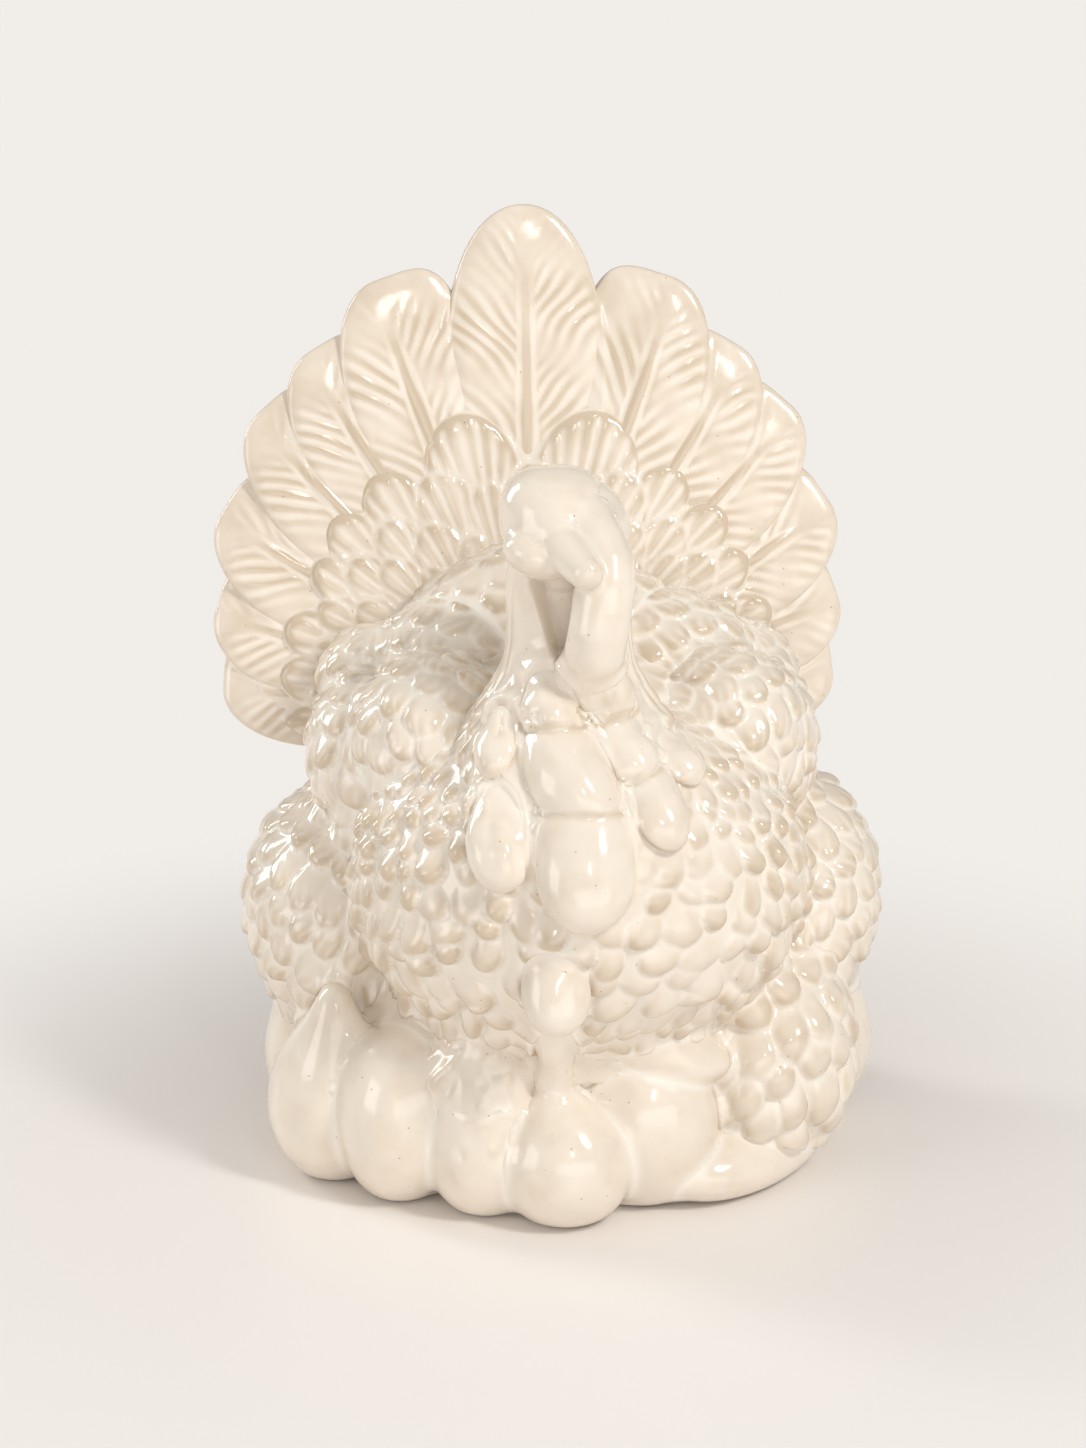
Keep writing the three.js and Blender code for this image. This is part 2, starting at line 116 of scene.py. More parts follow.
NECK_FOOT = point_on(BREAST, (-0.065, -0.16, 0.32))
NECK = {"root": 40.0, "stem": 16.5, "height": 90.0, "flare": 55.8, "dome": 21.6, "depth": 0.88,
        "stem_top": 68.0}
HEAD = mass_of((29, 32, 29), NECK_FOOT + np.array([-4, -2, 86.5]))
RIGHT_CHEEK = mass_on(HEAD, (23, 27, 27), (0.6, 0.12, -0.24))
LEFT_CHEEK = mass_on(HEAD, (19, 18, 12), (-0.36, -0.6, -0.5), 22)
BEAK = {"root": point_on(HEAD, (0, -0.62, -0.2)), "tip": point_on(HEAD, (0.4, -1.64, -0.56)),
        "wide": 7.2, "narrow": 4.5}
SNOOD = {"path": [point_on(HEAD, shares) for shares in (
    (0.52, -0.5, 0.0), (0.8, -1.08, -0.6), (0.72, -1.34, -1.3), (0.6, -1.3, -2.1),
    (0.56, -0.8, -2.5))],
    "radius": 7.9}

# Caruncles and beard: width, depth, height, then place in shares of the breast
CARUNCLES = {
    "caruncle_1": ((16, 14, 16), (-0.16, -0.54, 1.12)),
    "caruncle_2": ((11, 12, 16), (-0.39, -0.52, 0.92)),
    "caruncle_3": ((16, 14, 23), (-0.41, -0.81, 0.47)),
    "caruncle_4": ((24, 18, 24), (-0.1, -0.75, 0.74)),
    "caruncle_5": ((15, 14, 15), (0.07, -0.5, 1.18)),
    "caruncle_6": ((15, 14, 18), (0.14, -0.63, 0.89)),
    "caruncle_7": ((14, 12, 15), (0.36, -0.52, 0.8)),
    "caruncle_8": ((16, 14, 20), (0.26, -0.78, 0.61)),
    "caruncle_9": ((25, 18, 25), (-0.055, -0.97, 0.31)),
    "caruncle_10": ((17, 14, 22), (-0.18, -0.96, -0.29)),
    "beard": ((15, 12, 20), (-0.155, -0.86, -0.66)),
}

# Each drop hangs: its top leans into the neck, and its foot points a little to one side
DROP_TILT = 30.0
# The beard goes the other way, under the breast, with its foot on the pear's tip
BEARD_TILT = -22.0
BEARD_SHIFT = np.array([0, 8.6, -4.5])
# Leans in degrees; stretches of the half sizes; how far the top is drawn in, and the height
# of the random lumps, in mm
DROP_LEANS = {"caruncle_2": 10, "caruncle_3": -6, "caruncle_4": -34, "caruncle_6": -22,
              "caruncle_7": -40, "caruncle_8": -10}
DROP_STRETCHES = {"caruncle_4": (0.9, 1.08, 1.3), "caruncle_9": (1.0, 1.0, 1.36),
                  "beard": (0.74, 0.9, 1.4)}
USUAL_STRETCH = (1, 1, 1.2)
USUAL_DRAW = 4.2
DROP_DRAWS = {"caruncle_4": 2.6, "caruncle_9": 0.6, "caruncle_10": 0.8}
USUAL_LUMPS = 0.35
DROP_LUMPS = {"caruncle_1": 1.5, "caruncle_2": 1.0, "caruncle_3": 1.3, "caruncle_5": 0.9}

# Plumage lumps: size, lean in degrees and place in shares of the egg; then the way their
# leaves spread from (the pole), and leaf breadth, leaf length, leaf rise
PLUMAGE = {
    "left_wing": ((44, 48, 48), -25, (-0.547, -0.328, 0.603), (0.55, 0.35, 0.75), 10.4, 8.6, 2.5),
    "right_wing": ((42, 52, 52), 25, (0.688, -0.25, 0.552), (-0.55, 0.35, 0.75), 10.4, 8.6, 2.5),
    "left_wing_tip": ((36, 50, 50), -15, (-0.797, -0.06, 0.414), (0.4, 0.5, 0.8), 10.4, 8.6, 2.5),
    "right_wing_tip": ((38, 52, 50), 15, (0.844, 0, 0.414), (-0.4, 0.5, 0.8), 10.4, 8.6, 2.5),
    "left_back_lobe": ((46, 44, 34), 0, (-0.42, 0.13, 0.86), (0.4, 0.6, 0.7), 9.2, 8.6, 2.2),
    "right_back_lobe": ((50, 46, 36), 0, (0.5, 0.16, 0.84), (-0.4, 0.6, 0.7), 9.2, 8.6, 2.2),
    "left_flank": ((32, 34, 34), 0, (-0.78, 0.26, 0.7), (0.3, -0.3, 0.9), 8.8, 8.2, 2.1),
    "right_flank": ((34, 34, 34), 0, (0.84, 0.26, 0.68), (-0.3, -0.3, 0.9), 8.8, 8.2, 2.1),
    "left_thigh": ((52, 78, 68), 0, (-0.97, 0.09, -0.36), (0.35, -0.1, 0.9), 10.5, 9.4, 2.6),
    "right_thigh": ((52, 78, 68), 0, (1.06, 0.12, -0.35), (-0.35, -0.1, 0.9), 10.5, 9.4, 2.6),
    "rump": ((84, 46, 76), 0, (-0.04, 0.72, 0.3), (0, -0.2, 1), 11.5, 11, 2.3),
}

# The fan: feathers as reach, width, sweep; middle one first, then each pair outwards
FAN_ROOT = point_on(EGG, (-0.0625, 0.56, 0.483))
FAN_LEAN = 10.0
FAN = {"thickness": 9.0, "root": 30.0}
FEATHERS = [(145, 46, 0), (131, 42, 19), (121, 39, 31), (116, 38, 42), (106, 38, 57),
            (96, 35, 72), (90, 32, 85)]
COVERTS = {"width": 140.0, "height": 172.0, "depth": 26.0, "rise": 3.44, "seat": 2.0}

# Fruit: size, angle round the plinth in degrees, reach in plinth foot radii
FRUITS = {
    "front_pear": ((38, 36, 36), 270, 1.05),
    "left_gourd": ((38, 38, 48), 204.8, 1.155),
    "bumpy_gourd": ((34, 34, 40), 246.7, 1),
    "front_apple": ((40, 38, 48), 290.3, 0.93),
    "grape_bunch": ((46, 48, 62), 330.9, 1),
    "left_apple": ((36, 38, 50), 223.8, 1.06),
    "small_apple": ((60, 30, 21), 316, 1.07),
    "right_gourd": ((40, 40, 48), 3.1, 1.195),
    "rear_right_apple": ((40, 40, 46), 34, 1),
    "rear_pumpkin": ((50, 40, 44), 72, 0.98),
    "rear_pear": ((36, 38, 50), 107, 0.98),
    "rear_gourd": ((42, 40, 44), 141, 1),
    "rear_left_apple": ((38, 38, 48), 174, 1.06),
}
# Stalk ends of pear-shaped fruit: size, and place in shares of the fruit
KNOBS = {
    "left_gourd": ((17, 17, 44), (0, -0.35, 0.62)),
    "bumpy_gourd": ((28, 28, 34), (0, 0.1, 1)),
    "front_pear": ((10.5, 13, 27), (-0.16, 0.1, 0.7)),
    "rear_pear": ((14, 14, 26), (0, 0, 0.75)),
}
# Sideways shift of a fruit in mm, and its lean and turn in degrees
FRUIT_SHIFTS = {"front_pear": -3.5}
FRUIT_LEANS = {"grape_bunch": 12}
FRUIT_TURNS = {"small_apple": 42}
FRUIT_SINK = 2.5
FRUIT_FOOT = 0.5
# Half sizes of the bunch inside its grapes, and the leaf on the apple: size, place, lean
GRAPES_HALF = np.array([26.0, 28.0, 34.0])
LEAF = ((36, 24, 16), (0.25, -0.05, 0.86), 10)


def fruit_mass(name):
    """A fruit of the table, standing against the plinth and sunk a little below the table."""
    size, degrees, reach = FRUITS[name]
    angle = math.radians(degrees)
    out = reach * PLINTH["foot"]
    centre = (out * math.cos(angle) + FRUIT_SHIFTS.get(name, 0), out * math.sin(angle),
              size[2] / 2 - FRUIT_SINK)
    mass = mass_of(size, centre, FRUIT_LEANS.get(name, 0))
    if name in FRUIT_TURNS:
        return mass._replace(turn=turn_about_z(FRUIT_TURNS[name]))
    return mass


def fan_mass():
    """The dome of the coverts as a mass lying in the fan's plane."""
    half = np.array([COVERTS["width"], COVERTS["height"], COVERTS["depth"]]) / 2
    centre = on_fan(np.array([0.0, COVERTS["rise"], FAN["thickness"] / 2 - COVERTS["seat"]]))
    return Mass(half, centre, fan_turn())


def fan_turn():
    """Columns are the fan's across, up and forward: up leans back, forward faces the head."""
    a = math.radians(FAN_LEAN)
    return np.array([[1, 0, 0], [0, math.sin(a), -math.cos(a)], [0, math.cos(a), math.sin(a)]])


def on_fan(points):
    """Points of the fan's plane, in the figure's own axes."""
    return points @ fan_turn().T + FAN_ROOT


def drop_mass(name):
    """A drop of the table, stretched upwards, tilted into the neck and leaned. The beard is
    moved under the breast and tilted the other way."""
    size, shares = CARUNCLES[name]
    mass = mass_on(BREAST, size, shares, DROP_LEANS.get(name, 0))
    stretch = np.array(DROP_STRETCHES.get(name, USUAL_STRETCH))
    half = mass.half * stretch
    if name == "beard":
        return Mass(half, mass.centre + BEARD_SHIFT, mass.turn @ tilt_about_x(BEARD_TILT))
    centre = mass.centre + np.array([0, 0, (stretch[2] - 1) * mass.half[2]])
    return Mass(half, centre, mass.turn @ tilt_about_x(DROP_TILT))


MASSES = {"egg": EGG, "breast": BREAST, "back": BACK, "head": HEAD,
          "right_cheek": RIGHT_CHEEK, "left_cheek": LEFT_CHEEK, "tail_coverts": fan_mass()}
MASSES.update({name: drop_mass(name) for name in CARUNCLES})
MASSES.update({name: mass_on(EGG, entry[0], entry[2], entry[1])
               for name, entry in PLUMAGE.items()})
MASSES.update({name: fruit_mass(name) for name in FRUITS})
MASSES.update({f"{name}_knob": mass_on(MASSES[name], *entry) for name, entry in KNOBS.items()})
MASSES["grape_bunch"] = MASSES["grape_bunch"]._replace(half=GRAPES_HALF)
MASSES["leaf"] = mass_on(MASSES["front_apple"], *LEAF)


def mass_gap(mass, points):
    """Near distance to an ellipsoid: k0 (k0 - 1) / k1, where k0 is the length of the point
    over the half sizes, and k1 the length of the point over their squares."""
    local = (points - mass.centre) @ mass.turn
    k0 = np.linalg.norm(local / mass.half, axis=-1)
    k1 = np.linalg.norm(local / mass.half ** 2, axis=-1)
    return k0 * (k0 - 1) / np.maximum(k1, TINY)


def neck_radius(height):
    """Cosine flare from root to stem, then a quarter ellipse that closes the dome."""
    share = np.clip(height / NECK["flare"], 0, 1)
    flare = NECK["stem"] + (NECK["root"] - NECK["stem"]) * (1 + np.cos(np.pi * share)) / 2
    over = np.clip((height - NECK["height"] + NECK["dome"]) / NECK["dome"], 0, 1)
    return flare * np.sqrt(1 - over ** 2)


SLOPE_STEP = 0.5


def neck_gap(points):
    """Distance out from the turned neck, lessened by its slope; by the dome above the stem."""
    local = points - NECK_FOOT
    height = local[..., 2]
    across = np.hypot(local[..., 0], local[..., 1] / NECK["depth"])
    level = np.minimum(height, NECK["stem_top"])
    radius = neck_radius(level)
    slope = (neck_radius(level + SLOPE_STEP) - radius) / SLOPE_STEP
    side = (across - radius) / np.sqrt(1 + slope ** 2)
    top = NECK["height"] - NECK["dome"]
    dome = Mass(np.array([NECK["stem"], NECK["stem"] * NECK["depth"], NECK["dome"]]),
                NECK_FOOT + np.array([0, 0, top]), np.eye(3))
    return np.maximum(np.where(height > top, mass_gap(dome, points), side), -height)


def rod_gap(start, end, wide, narrow, points):
    """Distance to a straight rod whose radius goes from wide to narrow, round at its ends."""
    span = end - start
    share = np.clip(((points - start) @ span) / (span @ span), 0, 1)
    nearest = start + share[..., None] * span
    return np.linalg.norm(points - nearest, axis=-1) - (wide + (narrow - wide) * share)


def curve_through(stops, count):
    """A smooth curve through the stops: each stretch is the cubic of Catmull and Rom."""
    stops = np.array(stops, float)
    ends = np.vstack([2 * stops[0] - stops[1], stops, 2 * stops[-1] - stops[-2]])
    along = np.linspace(0, len(stops) - 1, count)
    part = np.minimum(along.astype(int), len(stops) - 2)
    t = (along - part)[:, None]
    a, b, c, d = ends[part], ends[part + 1], ends[part + 2], ends[part + 3]
    return 0.5 * (2 * b + (c - a) * t + (2 * a - 5 * b + 4 * c - d) * t ** 2
                  + (3 * b - a - 3 * c + d) * t ** 3)


SNOOD_LINE = curve_through(SNOOD["path"], 9)


def snood_gap(points):
    """The least of the distances to the rods that follow the snood's curve."""
    gaps = [rod_gap(SNOOD_LINE[i], SNOOD_LINE[i + 1], SNOOD["radius"], SNOOD["radius"], points)
            for i in range(len(SNOOD_LINE) - 1)]
    return np.minimum.reduce(gaps)


def beak_gap(points):
    return rod_gap(BEAK["root"], BEAK["tip"], BEAK["wide"], BEAK["narrow"], points)


def plinth_gap(points):
    """Below the plinth's skirt, whose radius is read from a line of stops by height."""
    radius = np.hypot(points[..., 0], points[..., 1])
    heights, reaches = np.array(SKIRT).T
    skirt = np.interp(points[..., 2], heights, reaches)
    slope = np.interp(points[..., 2], heights, SKIRT_SLOPES)
    return np.maximum(slope * (radius - skirt), points[..., 2] - heights[-1])


# Low apron of glaze: its width at the foot, what it gains and loses further up, and the
# stretches over which it does so and fades. It hides scales from the first thickness on.
APRON = {"rise": 3.6, "aside": 1.0, "width": 11, "gain": 16, "loss": 10, "gains": (85, 115),
         "loses": (125, 150), "top": (160, 126), "foot": (66, 116), "front": (-40, -50),
         "hides": (2.2, 0.5)}
# Hollow of the throat: its width at its foot and what it widens by with height
THROAT = {"depth": 6.0, "aside": -1.6, "foot": 48, "width": 2.2, "widening": 0.27,
          "widest": 9.5, "edge": (1.25, 0.6), "fade": (46, 56)}


def apron(points):
    """Glaze that gathers down the front between the drops: a bell across, wider in the
    middle of its height, that fades at the throat and over the lower breast."""
    x, y, z = points[..., 0], points[..., 1], points[..., 2]
    width = (APRON["width"] + APRON["gain"] * smooth_step(*APRON["gains"], z)
             - APRON["loss"] * smooth_step(*APRON["loses"], z))
    across = np.exp(-(np.abs(x - APRON["aside"]) / width) ** 4)
    along = smooth_step(*APRON["top"], z) * smooth_step(*APRON["foot"], z)
    return APRON["rise"] * across * along * smooth_step(*APRON["front"], y)


def throat(points):
    """Depth of the V-shaped hollow in the neck behind the snood, pointed at its foot."""
    local = points - NECK_FOOT
    x, y, z = local[..., 0], local[..., 1], local[..., 2]
    width = np.clip(THROAT["width"] + THROAT["widening"] * (z - THROAT["foot"]), 1,
                    THROAT["widest"])
    across = smooth_step(*THROAT["edge"], np.abs(x - THROAT["aside"]) / width)
    return THROAT["depth"] * across * smooth_step(*THROAT["fade"], z) * (y < 0)


def swell(name, points):
    """Low form of a skin that its neighbours follow too."""
    if name == "neck":
        return apron(points) - throat(points)
    return apron(points) if name == "breast" else 0 * points[..., 0]


def beside_apron(points):
    """1 where scales show, falling to 0 under the thick of the apron."""
    return smooth_step(*APRON["hides"], apron(points))


GAPS = {name: (lambda points, mass=mass: mass_gap(mass, points)) for name, mass in MASSES.items()}
GAPS.update({"neck": lambda points: neck_gap(points) - swell("neck", points),
             "breast": lambda points: mass_gap(BREAST, points) - swell("breast", points),
             "beak": beak_gap, "snood": snood_gap, "plinth": plinth_gap})


# Reach of the glaze in the joints: of a drop at its foot and what it gains to its top, of
# the beard, between a drop and the snood, between beak and snood; what two drops add; then
# by part, and by the kinds of the two masses
DROP_FOOT_FILLET, DROP_TOP_GAIN = 1.6, 8.4
BEARD_FILLET, SNOOD_DROP_FILLET, BEAK_SNOOD_FILLET, TWO_DROPS_GAIN = 8.0, 5.0, 1.5, 1.2
PART_FILLETS = {"beak": 2.6, "left_cheek": 2.6, "snood": 3.0, "right_cheek": 3.4, "head": 4.5,
                "plinth": 9.0}
KIND_FILLETS = {("fruit", "fruit"): 4.2, ("body", "fruit"): 11.0, ("fruit", "plume"): 12.0,
                ("fruit", "knob"): 11.0, ("knob", "plume"): 7.0, ("body", "plume"): 6.0,
                ("body", "knob"): 9.0, ("plume", "plume"): 6.0}
# How strongly pooled glaze shows in a piece's joints
SEAM_TINTS = {"head": 0.1, "beak": 0.1, "left_cheek": 0.1, "right_cheek": 0.1, "snood": 0.15,
              "neck": 0.2}
KIND_TINTS = {"knob": 0.1, "fruit": 0.45, "plume": 0.9, "body": 0.9, "other": 0.3}
# Share by which the glaze under a drop's foot is painted thinner and darker: partly thin glaze,
# partly painted shade under the drop
DROP_FOOT_THIN_AND_SHADE = 0.6


def kind_of(name):
    """The kind of a mass, which decides the glaze in its joints."""
    if name.endswith("_knob"):
        return "knob"
    if name in FRUITS or name == "leaf":
        return "fruit"
    if name in PLUMAGE:
        return "plume"
    return "body" if name in ("egg", "breast", "back") else "other"


def height_share(name, points):
    """Height over a mass's centre in shares of its half height."""
    mass = MASSES[name]
    return (points[..., 2] - mass.centre[2]) / mass.half[2]


def drop_fillet(name, points):
    """Wide at a drop's top, where it grows out of the neck, and narrow under its foot."""
    return DROP_FOOT_FILLET + DROP_TOP_GAIN * smooth_step(-0.1, 0.9, height_share(name, points))


def fillet_between(own, other, points, usual):
    """Reach of the glaze in the joint of two masses, the same seen from either."""
    pair = (own, other)
    if "beard" in pair:
        return BEARD_FILLET
    drops = [drop_fillet(name, points) for name in pair if name in CARUNCLES]
    if drops and "snood" in pair:
        return SNOOD_DROP_FILLET
    if "beak" in pair and "snood" in pair:
        return BEAK_SNOOD_FILLET
    if drops:
        return np.minimum.reduce(drops) + (TWO_DROPS_GAIN if len(drops) == 2 else 0)
    for name, reach in PART_FILLETS.items():
        if name in pair:
            return reach
    return KIND_FILLETS.get(tuple(sorted((kind_of(own), kind_of(other)))), usual)


# Steps of the settling and the share of the way that each goes
SETTLE_STEPS, SETTLE_EASE = 9, 0.7
# Distance from a neighbour over which relief fades, and how far plumage goes under plumage
RELIEF_FADE, PLUME_OVERLAP = 1.7, 0.15
# A mass that comes this near, in a sample of every so many points, is a neighbour
NEAR_ENOUGH, SAMPLE_STEP = 12.0, 23
# Widest pool of glaze in a joint
SEAM_REACH = 3.0
# How far a skin keeps to its neighbour's past a joint, and how deep it then lies under it
LAP, LAP_SINK = 1.0, 0.12


def neighbours(points, own):
    """Names of the other masses that come near any of a sample of the points."""
    sample = points.reshape(-1, 3)[::SAMPLE_STEP]
    return [name for name, gap in GAPS.items()
            if name != own and np.min(gap(sample)) < NEAR_ENOUGH]


def settle(points, outward, relief, own):
    """Raises each point along its outward line by its relief, faded at the joints, and by
    the glaze fillet: until its gap is (fillet - |own gap - other gap|)^2 / (4 fillet), the
    highest of all the other masses. Its gap is its own, or another mass's if that is less,
    so that past a joint a skin keeps to its neighbour's for a little, then goes under it.
    Gives the points, and how much glaze pools in a joint there, 0 to 1."""
    usual = relief_settings()["fillet"]
    points = points + outward * swell(own, points)[..., None]
    near = neighbours(points, own)
    clear = np.full_like(relief, NEAR_ENOUGH)
    for name in near:
        over = PLUME_OVERLAP if own in PLUMAGE and name in PLUMAGE else 0
        clear = np.minimum(clear, GAPS[name](points) + over)
    relief = relief * smooth_step(0, RELIEF_FADE, clear)
    bead = np.zeros_like(relief)
    for _ in range(SETTLE_STEPS):
        at = points + outward * (relief + bead)[..., None]
        mine = GAPS[own](at) - relief
        highest, lowest, seam = np.zeros_like(relief), mine, np.zeros_like(relief)
        for name in near:
            other = GAPS[name](at)
            apart = np.abs(mine - other)
            reach = fillet_between(own, name, at, usual)
            highest = np.maximum(highest, np.maximum(reach - apart, 0) ** 2 / (4 * reach))
            lowest = np.minimum(lowest, np.maximum(other, mine - LAP))
            pool = np.maximum(1 - apart / np.minimum(reach, SEAM_REACH), 0) ** 2
            pool = pool * seam_tint(own, name, at)
            seam = np.where(np.abs(pool) > np.abs(seam), pool, seam)
        bead += SETTLE_EASE * (highest - lowest - LAP_SINK * ((mine - lowest) / LAP) ** 2)
    return points + outward * (relief + bead)[..., None], seam


def seam_tint(own, other, points):
    """How much glaze pools in the joint of two masses; under a drop's foot it runs thin."""
    tint = min(SEAM_TINTS.get(name, KIND_TINTS[kind_of(name)]) for name in (own, other))
    for name in (own, other):
        if name in CARUNCLES and name != "beard":
            tint = tint - DROP_FOOT_THIN_AND_SHADE * smooth_step(0.0, -0.6, height_share(name, points))
    return tint


def blurred(heights, times):
    """Each pass takes a quarter of both neighbours along, then across, round the columns."""
    for _ in range(times):
        padded = np.vstack([heights[:1], heights, heights[-1:]])
        heights = padded[1:-1] / 2 + (padded[:-2] + padded[2:]) / 4
        heights = heights / 2 + (np.roll(heights, 1, 1) + np.roll(heights, -1, 1)) / 4
    return heights


def tuck_into_body(points):
    """Whatever lies deeper in the egg than the middle of its wall goes out to it, from the
    egg's centre."""
    local = (points - EGG.centre) / EGG.half
    reach = np.linalg.norm(local, axis=-1, keepdims=True)
    wall = 1 - CAST_WALL / 2 / EGG.half.mean()
    return EGG.centre + local * EGG.half * np.maximum(wall / np.maximum(reach, TINY), 1)


# How much further in a fruit's wall lies at the table and up to what height; the reach of
# the bend round its pressed foot
PRESS_IN, PRESS_HEIGHT, FOOT_BEND = 2, 8, 1.6


def tuck_into_plinth(points):
    """Whatever a fruit has inside the plinth's hollow goes out to the middle of its wall,
    and its foot is pressed flat just above the table."""
    z = points[..., 2]
    share = np.clip(z / PLINTH["height"], 0, 1)
    wall = PLINTH["foot"] + (PLINTH["top"] - PLINTH["foot"]) * share - PLINTH["wall"] / 2
    wall = wall - PRESS_IN * smooth_step(PRESS_HEIGHT, 0, z)
    radius = np.hypot(points[..., 0], points[..., 1])
    push = np.where(z < PLINTH["height"] - PLINTH["deck"] / 2,
                    np.maximum(wall / np.maximum(radius, TINY), 1), 1)
    near = np.maximum(FOOT_BEND - np.abs(z - FRUIT_FOOT), 0)
    flat = np.maximum(z, FRUIT_FOOT) + near ** 2 / (4 * FOOT_BEND)
    return np.stack([points[..., 0] * push, points[..., 1] * push, flat], -1)


def stations(spread, fine, coarse):
    """Angles round a turn, closely spaced within spread of zero and widely beyond it."""
    front = np.arange(-spread, spread, fine)
    count = max(int((2 * np.pi - 2 * spread) / coarse), 6)
    return np.concatenate([front, np.linspace(spread, 2 * np.pi - spread, count + 1)[:-1]])


def full_turn(count):
    """Even angles round a full turn, without the last, which is the first again."""
    return np.linspace(0, 2 * np.pi, count + 1)[:-1]


def on_sphere(down, around):
    """Points of a unit sphere, from the angle down from its pole and the angle round it."""
    return np.stack([np.sin(down) * np.cos(around), np.sin(down) * np.sin(around),
                     np.cos(down)], -1)


def frame_of(pole, front):
    """Three axes as columns: towards front, across, and along the pole."""
    pole = np.array(pole, float) / np.linalg.norm(pole)
    front = np.array(front, float) - pole * np.dot(front, pole)
    front = front / np.linalg.norm(front)
    return np.stack([front, np.cross(pole, front), pole], -1)


def grid_over(mass, pole, front, fine, spread=np.pi, coarse=3.0):
    """Grid on an ellipsoid: the angle down from the pole and the angle round it, on a unit
    sphere that is then stretched to the half sizes. Gives points, outward lines, angles."""
    mean = float(np.mean(mass.half))
    down = np.linspace(0, np.pi, max(int(np.pi * mean / fine), 16))
    around = stations(spread, fine / mean, coarse / mean) if spread < np.pi else np.linspace(
        -np.pi, np.pi, max(int(2 * np.pi * mean / fine), 24) + 1)[:-1]
    down, around = np.meshgrid(down, around, indexing="ij")
    local = on_sphere(down, around) @ frame_of(pole, front).T @ mass.turn
    points = mass.centre + (local * mass.half) @ mass.turn.T
    normal = (local / mass.half) @ mass.turn.T
    normal /= np.linalg.norm(normal, axis=-1, keepdims=True)
    return points, normal, down, around


Leaves = namedtuple("Leaves", "height across along")
# How far before its root and past its tip a row of tongues is worked out, in lengths, and
# where a tongue begins to rise
ROW_BEFORE, ROW_PAST, TONGUE_START = 0.3, 1.25, -0.2
# Random part, in shares of the row's jitter, of a tongue's length, swing and slope
LENGTH_JITTER, SWING_JITTER, SLOPE_JITTER = 0.8, 1.6, 1.5


def overlapped(along, around, girth, rows, seed, jitter=0.12, blunt=0.5, edge=3.0, waist=1.0,
               climb=0.85):
    """Rows of overlapping tongues that point away from the pole, as (root, length, breadth,
    rise, count) in mm. A tongue's outline widens from its waist share, then closes in half
    an ellipse from its blunt share on; inside it the height climbs from the root to the tip,
    and rounds off at the edge as the square root of 1 - (distance to the edge)^edge. The
    highest tongue shows."""
    rng = np.random.default_rng(seed)
    height = np.zeros_like(along)
    best_across = np.zeros_like(along)
    best_along = np.zeros_like(along)
    for number, (root, length, breadth, rise, count) in enumerate(rows):
        moves = rng.uniform(-1, 1, (6, count)) * jitter
        inside = (along > root - ROW_BEFORE * length) & (along < root + ROW_PAST * length)
        if not inside.any():
            continue
        here, turn, round_mm = along[inside], around[inside], girth[inside] / (2 * np.pi)
        pitch = 2 * np.pi / count
        place = turn / pitch - 0.5 * (number % 2)
        top, top_across, top_along = height[inside], best_across[inside], best_along[inside]
        for side in (-1, 0, 1):
            which = np.round(place).astype(int) + side
            pick = which % count
            off = (place - which - moves[0][pick]) * pitch * round_mm
            start = root + moves[1][pick] * length
            b = (here - start) / (length * (1 + LENGTH_JITTER * moves[2][pick]))
            swing = SWING_JITTER * moves[4][pick] * breadth * (b - 0.4)
            a = (off + swing) / (0.5 * breadth * (1 + moves[3][pick]))
            a = a / (waist + (1 - waist) * smooth_step(-0.15, 0.6, b))
            reach = a ** 2 + (np.maximum(b - blunt, 0) / (1 - blunt)) ** 2
            body = np.sqrt(np.maximum(1 - np.maximum(reach, 0) ** (edge / 2), 0))
            slope = smooth_step(TONGUE_START, climb, b) * (1 + SLOPE_JITTER * moves[5][pick])
            lift = np.where(b > TONGUE_START, rise * body * slope, 0)
            higher = lift > top
            top = np.where(higher, lift, top)
            top_across = np.where(higher, a, top_across)
            top_along = np.where(higher, b, top_along)
        height[inside], best_across[inside], best_along[inside] = top, top_across, top_along
    return Leaves(height, best_across, best_along)


# Least share of the full girth that a ring counts as, and the last angle down with a ring
LEAST_RING, LAST_RING = 0.05, 3.0
# Raised leaves: length over the pitch of the rows, breadth over the pitch round a row, and
# the gain in height that makes up for the overlaps
LEAF_LENGTH, LEAF_BREADTH, LEAF_HEIGHT = 1.36, 1.05, 1.25


def unrolled(mass, down):
    """A mass as a ball: its mean radius, the way down from the pole, and the way round."""
    mean = float(np.mean(mass.half))
    return mean, down * mean, 2 * np.pi * mean * np.maximum(np.sin(down), LEAST_RING)


def ring_length(mean, along):
    """Way round a ball at a way down from its pole."""
    return 2 * np.pi * mean * max(math.sin(min(along / mean, LAST_RING)), LEAST_RING)


def raised_leaves(mass, down, around, breadth, length, rise, seed, fan=0.0):
    """Drop-shaped leaves over a whole lump, in staggered rows from its pole to the far side,
    each growing out of the glaze and ending in a full round tip, with soft grooves as deep
    as fan, all heaped up a little unevenly."""
    mean, along, girth = unrolled(mass, down)
    rows = [(root, LEAF_LENGTH * length, LEAF_BREADTH * breadth, rise,
             max(int(round(ring_length(mean, root + length) / breadth)), 4))
            for root in np.arange(-0.6 * length, np.pi * mean, length)]
    leaves = overlapped(along, around, girth, rows, seed, jitter=0.15, blunt=0.45,
                        waist=0.72, climb=1.0)
    grooves = 0.5 + 0.5 * np.cos(2 * np.pi * 1.6 * leaves.across + 3 * np.sin(0.4 * along))
    shown = smooth_step(0.3, 0.6, leaves.along) * smooth_step(1.0, 0.8, leaves.along)
    cut = fan * grooves ** 2 * shown * (leaves.height > 0.3)
    heap = 0.88 + 0.12 * np.sin(0.35 * along + 2.1 * around + seed)
    return (LEAF_HEIGHT * leaves.height - cut) * heap


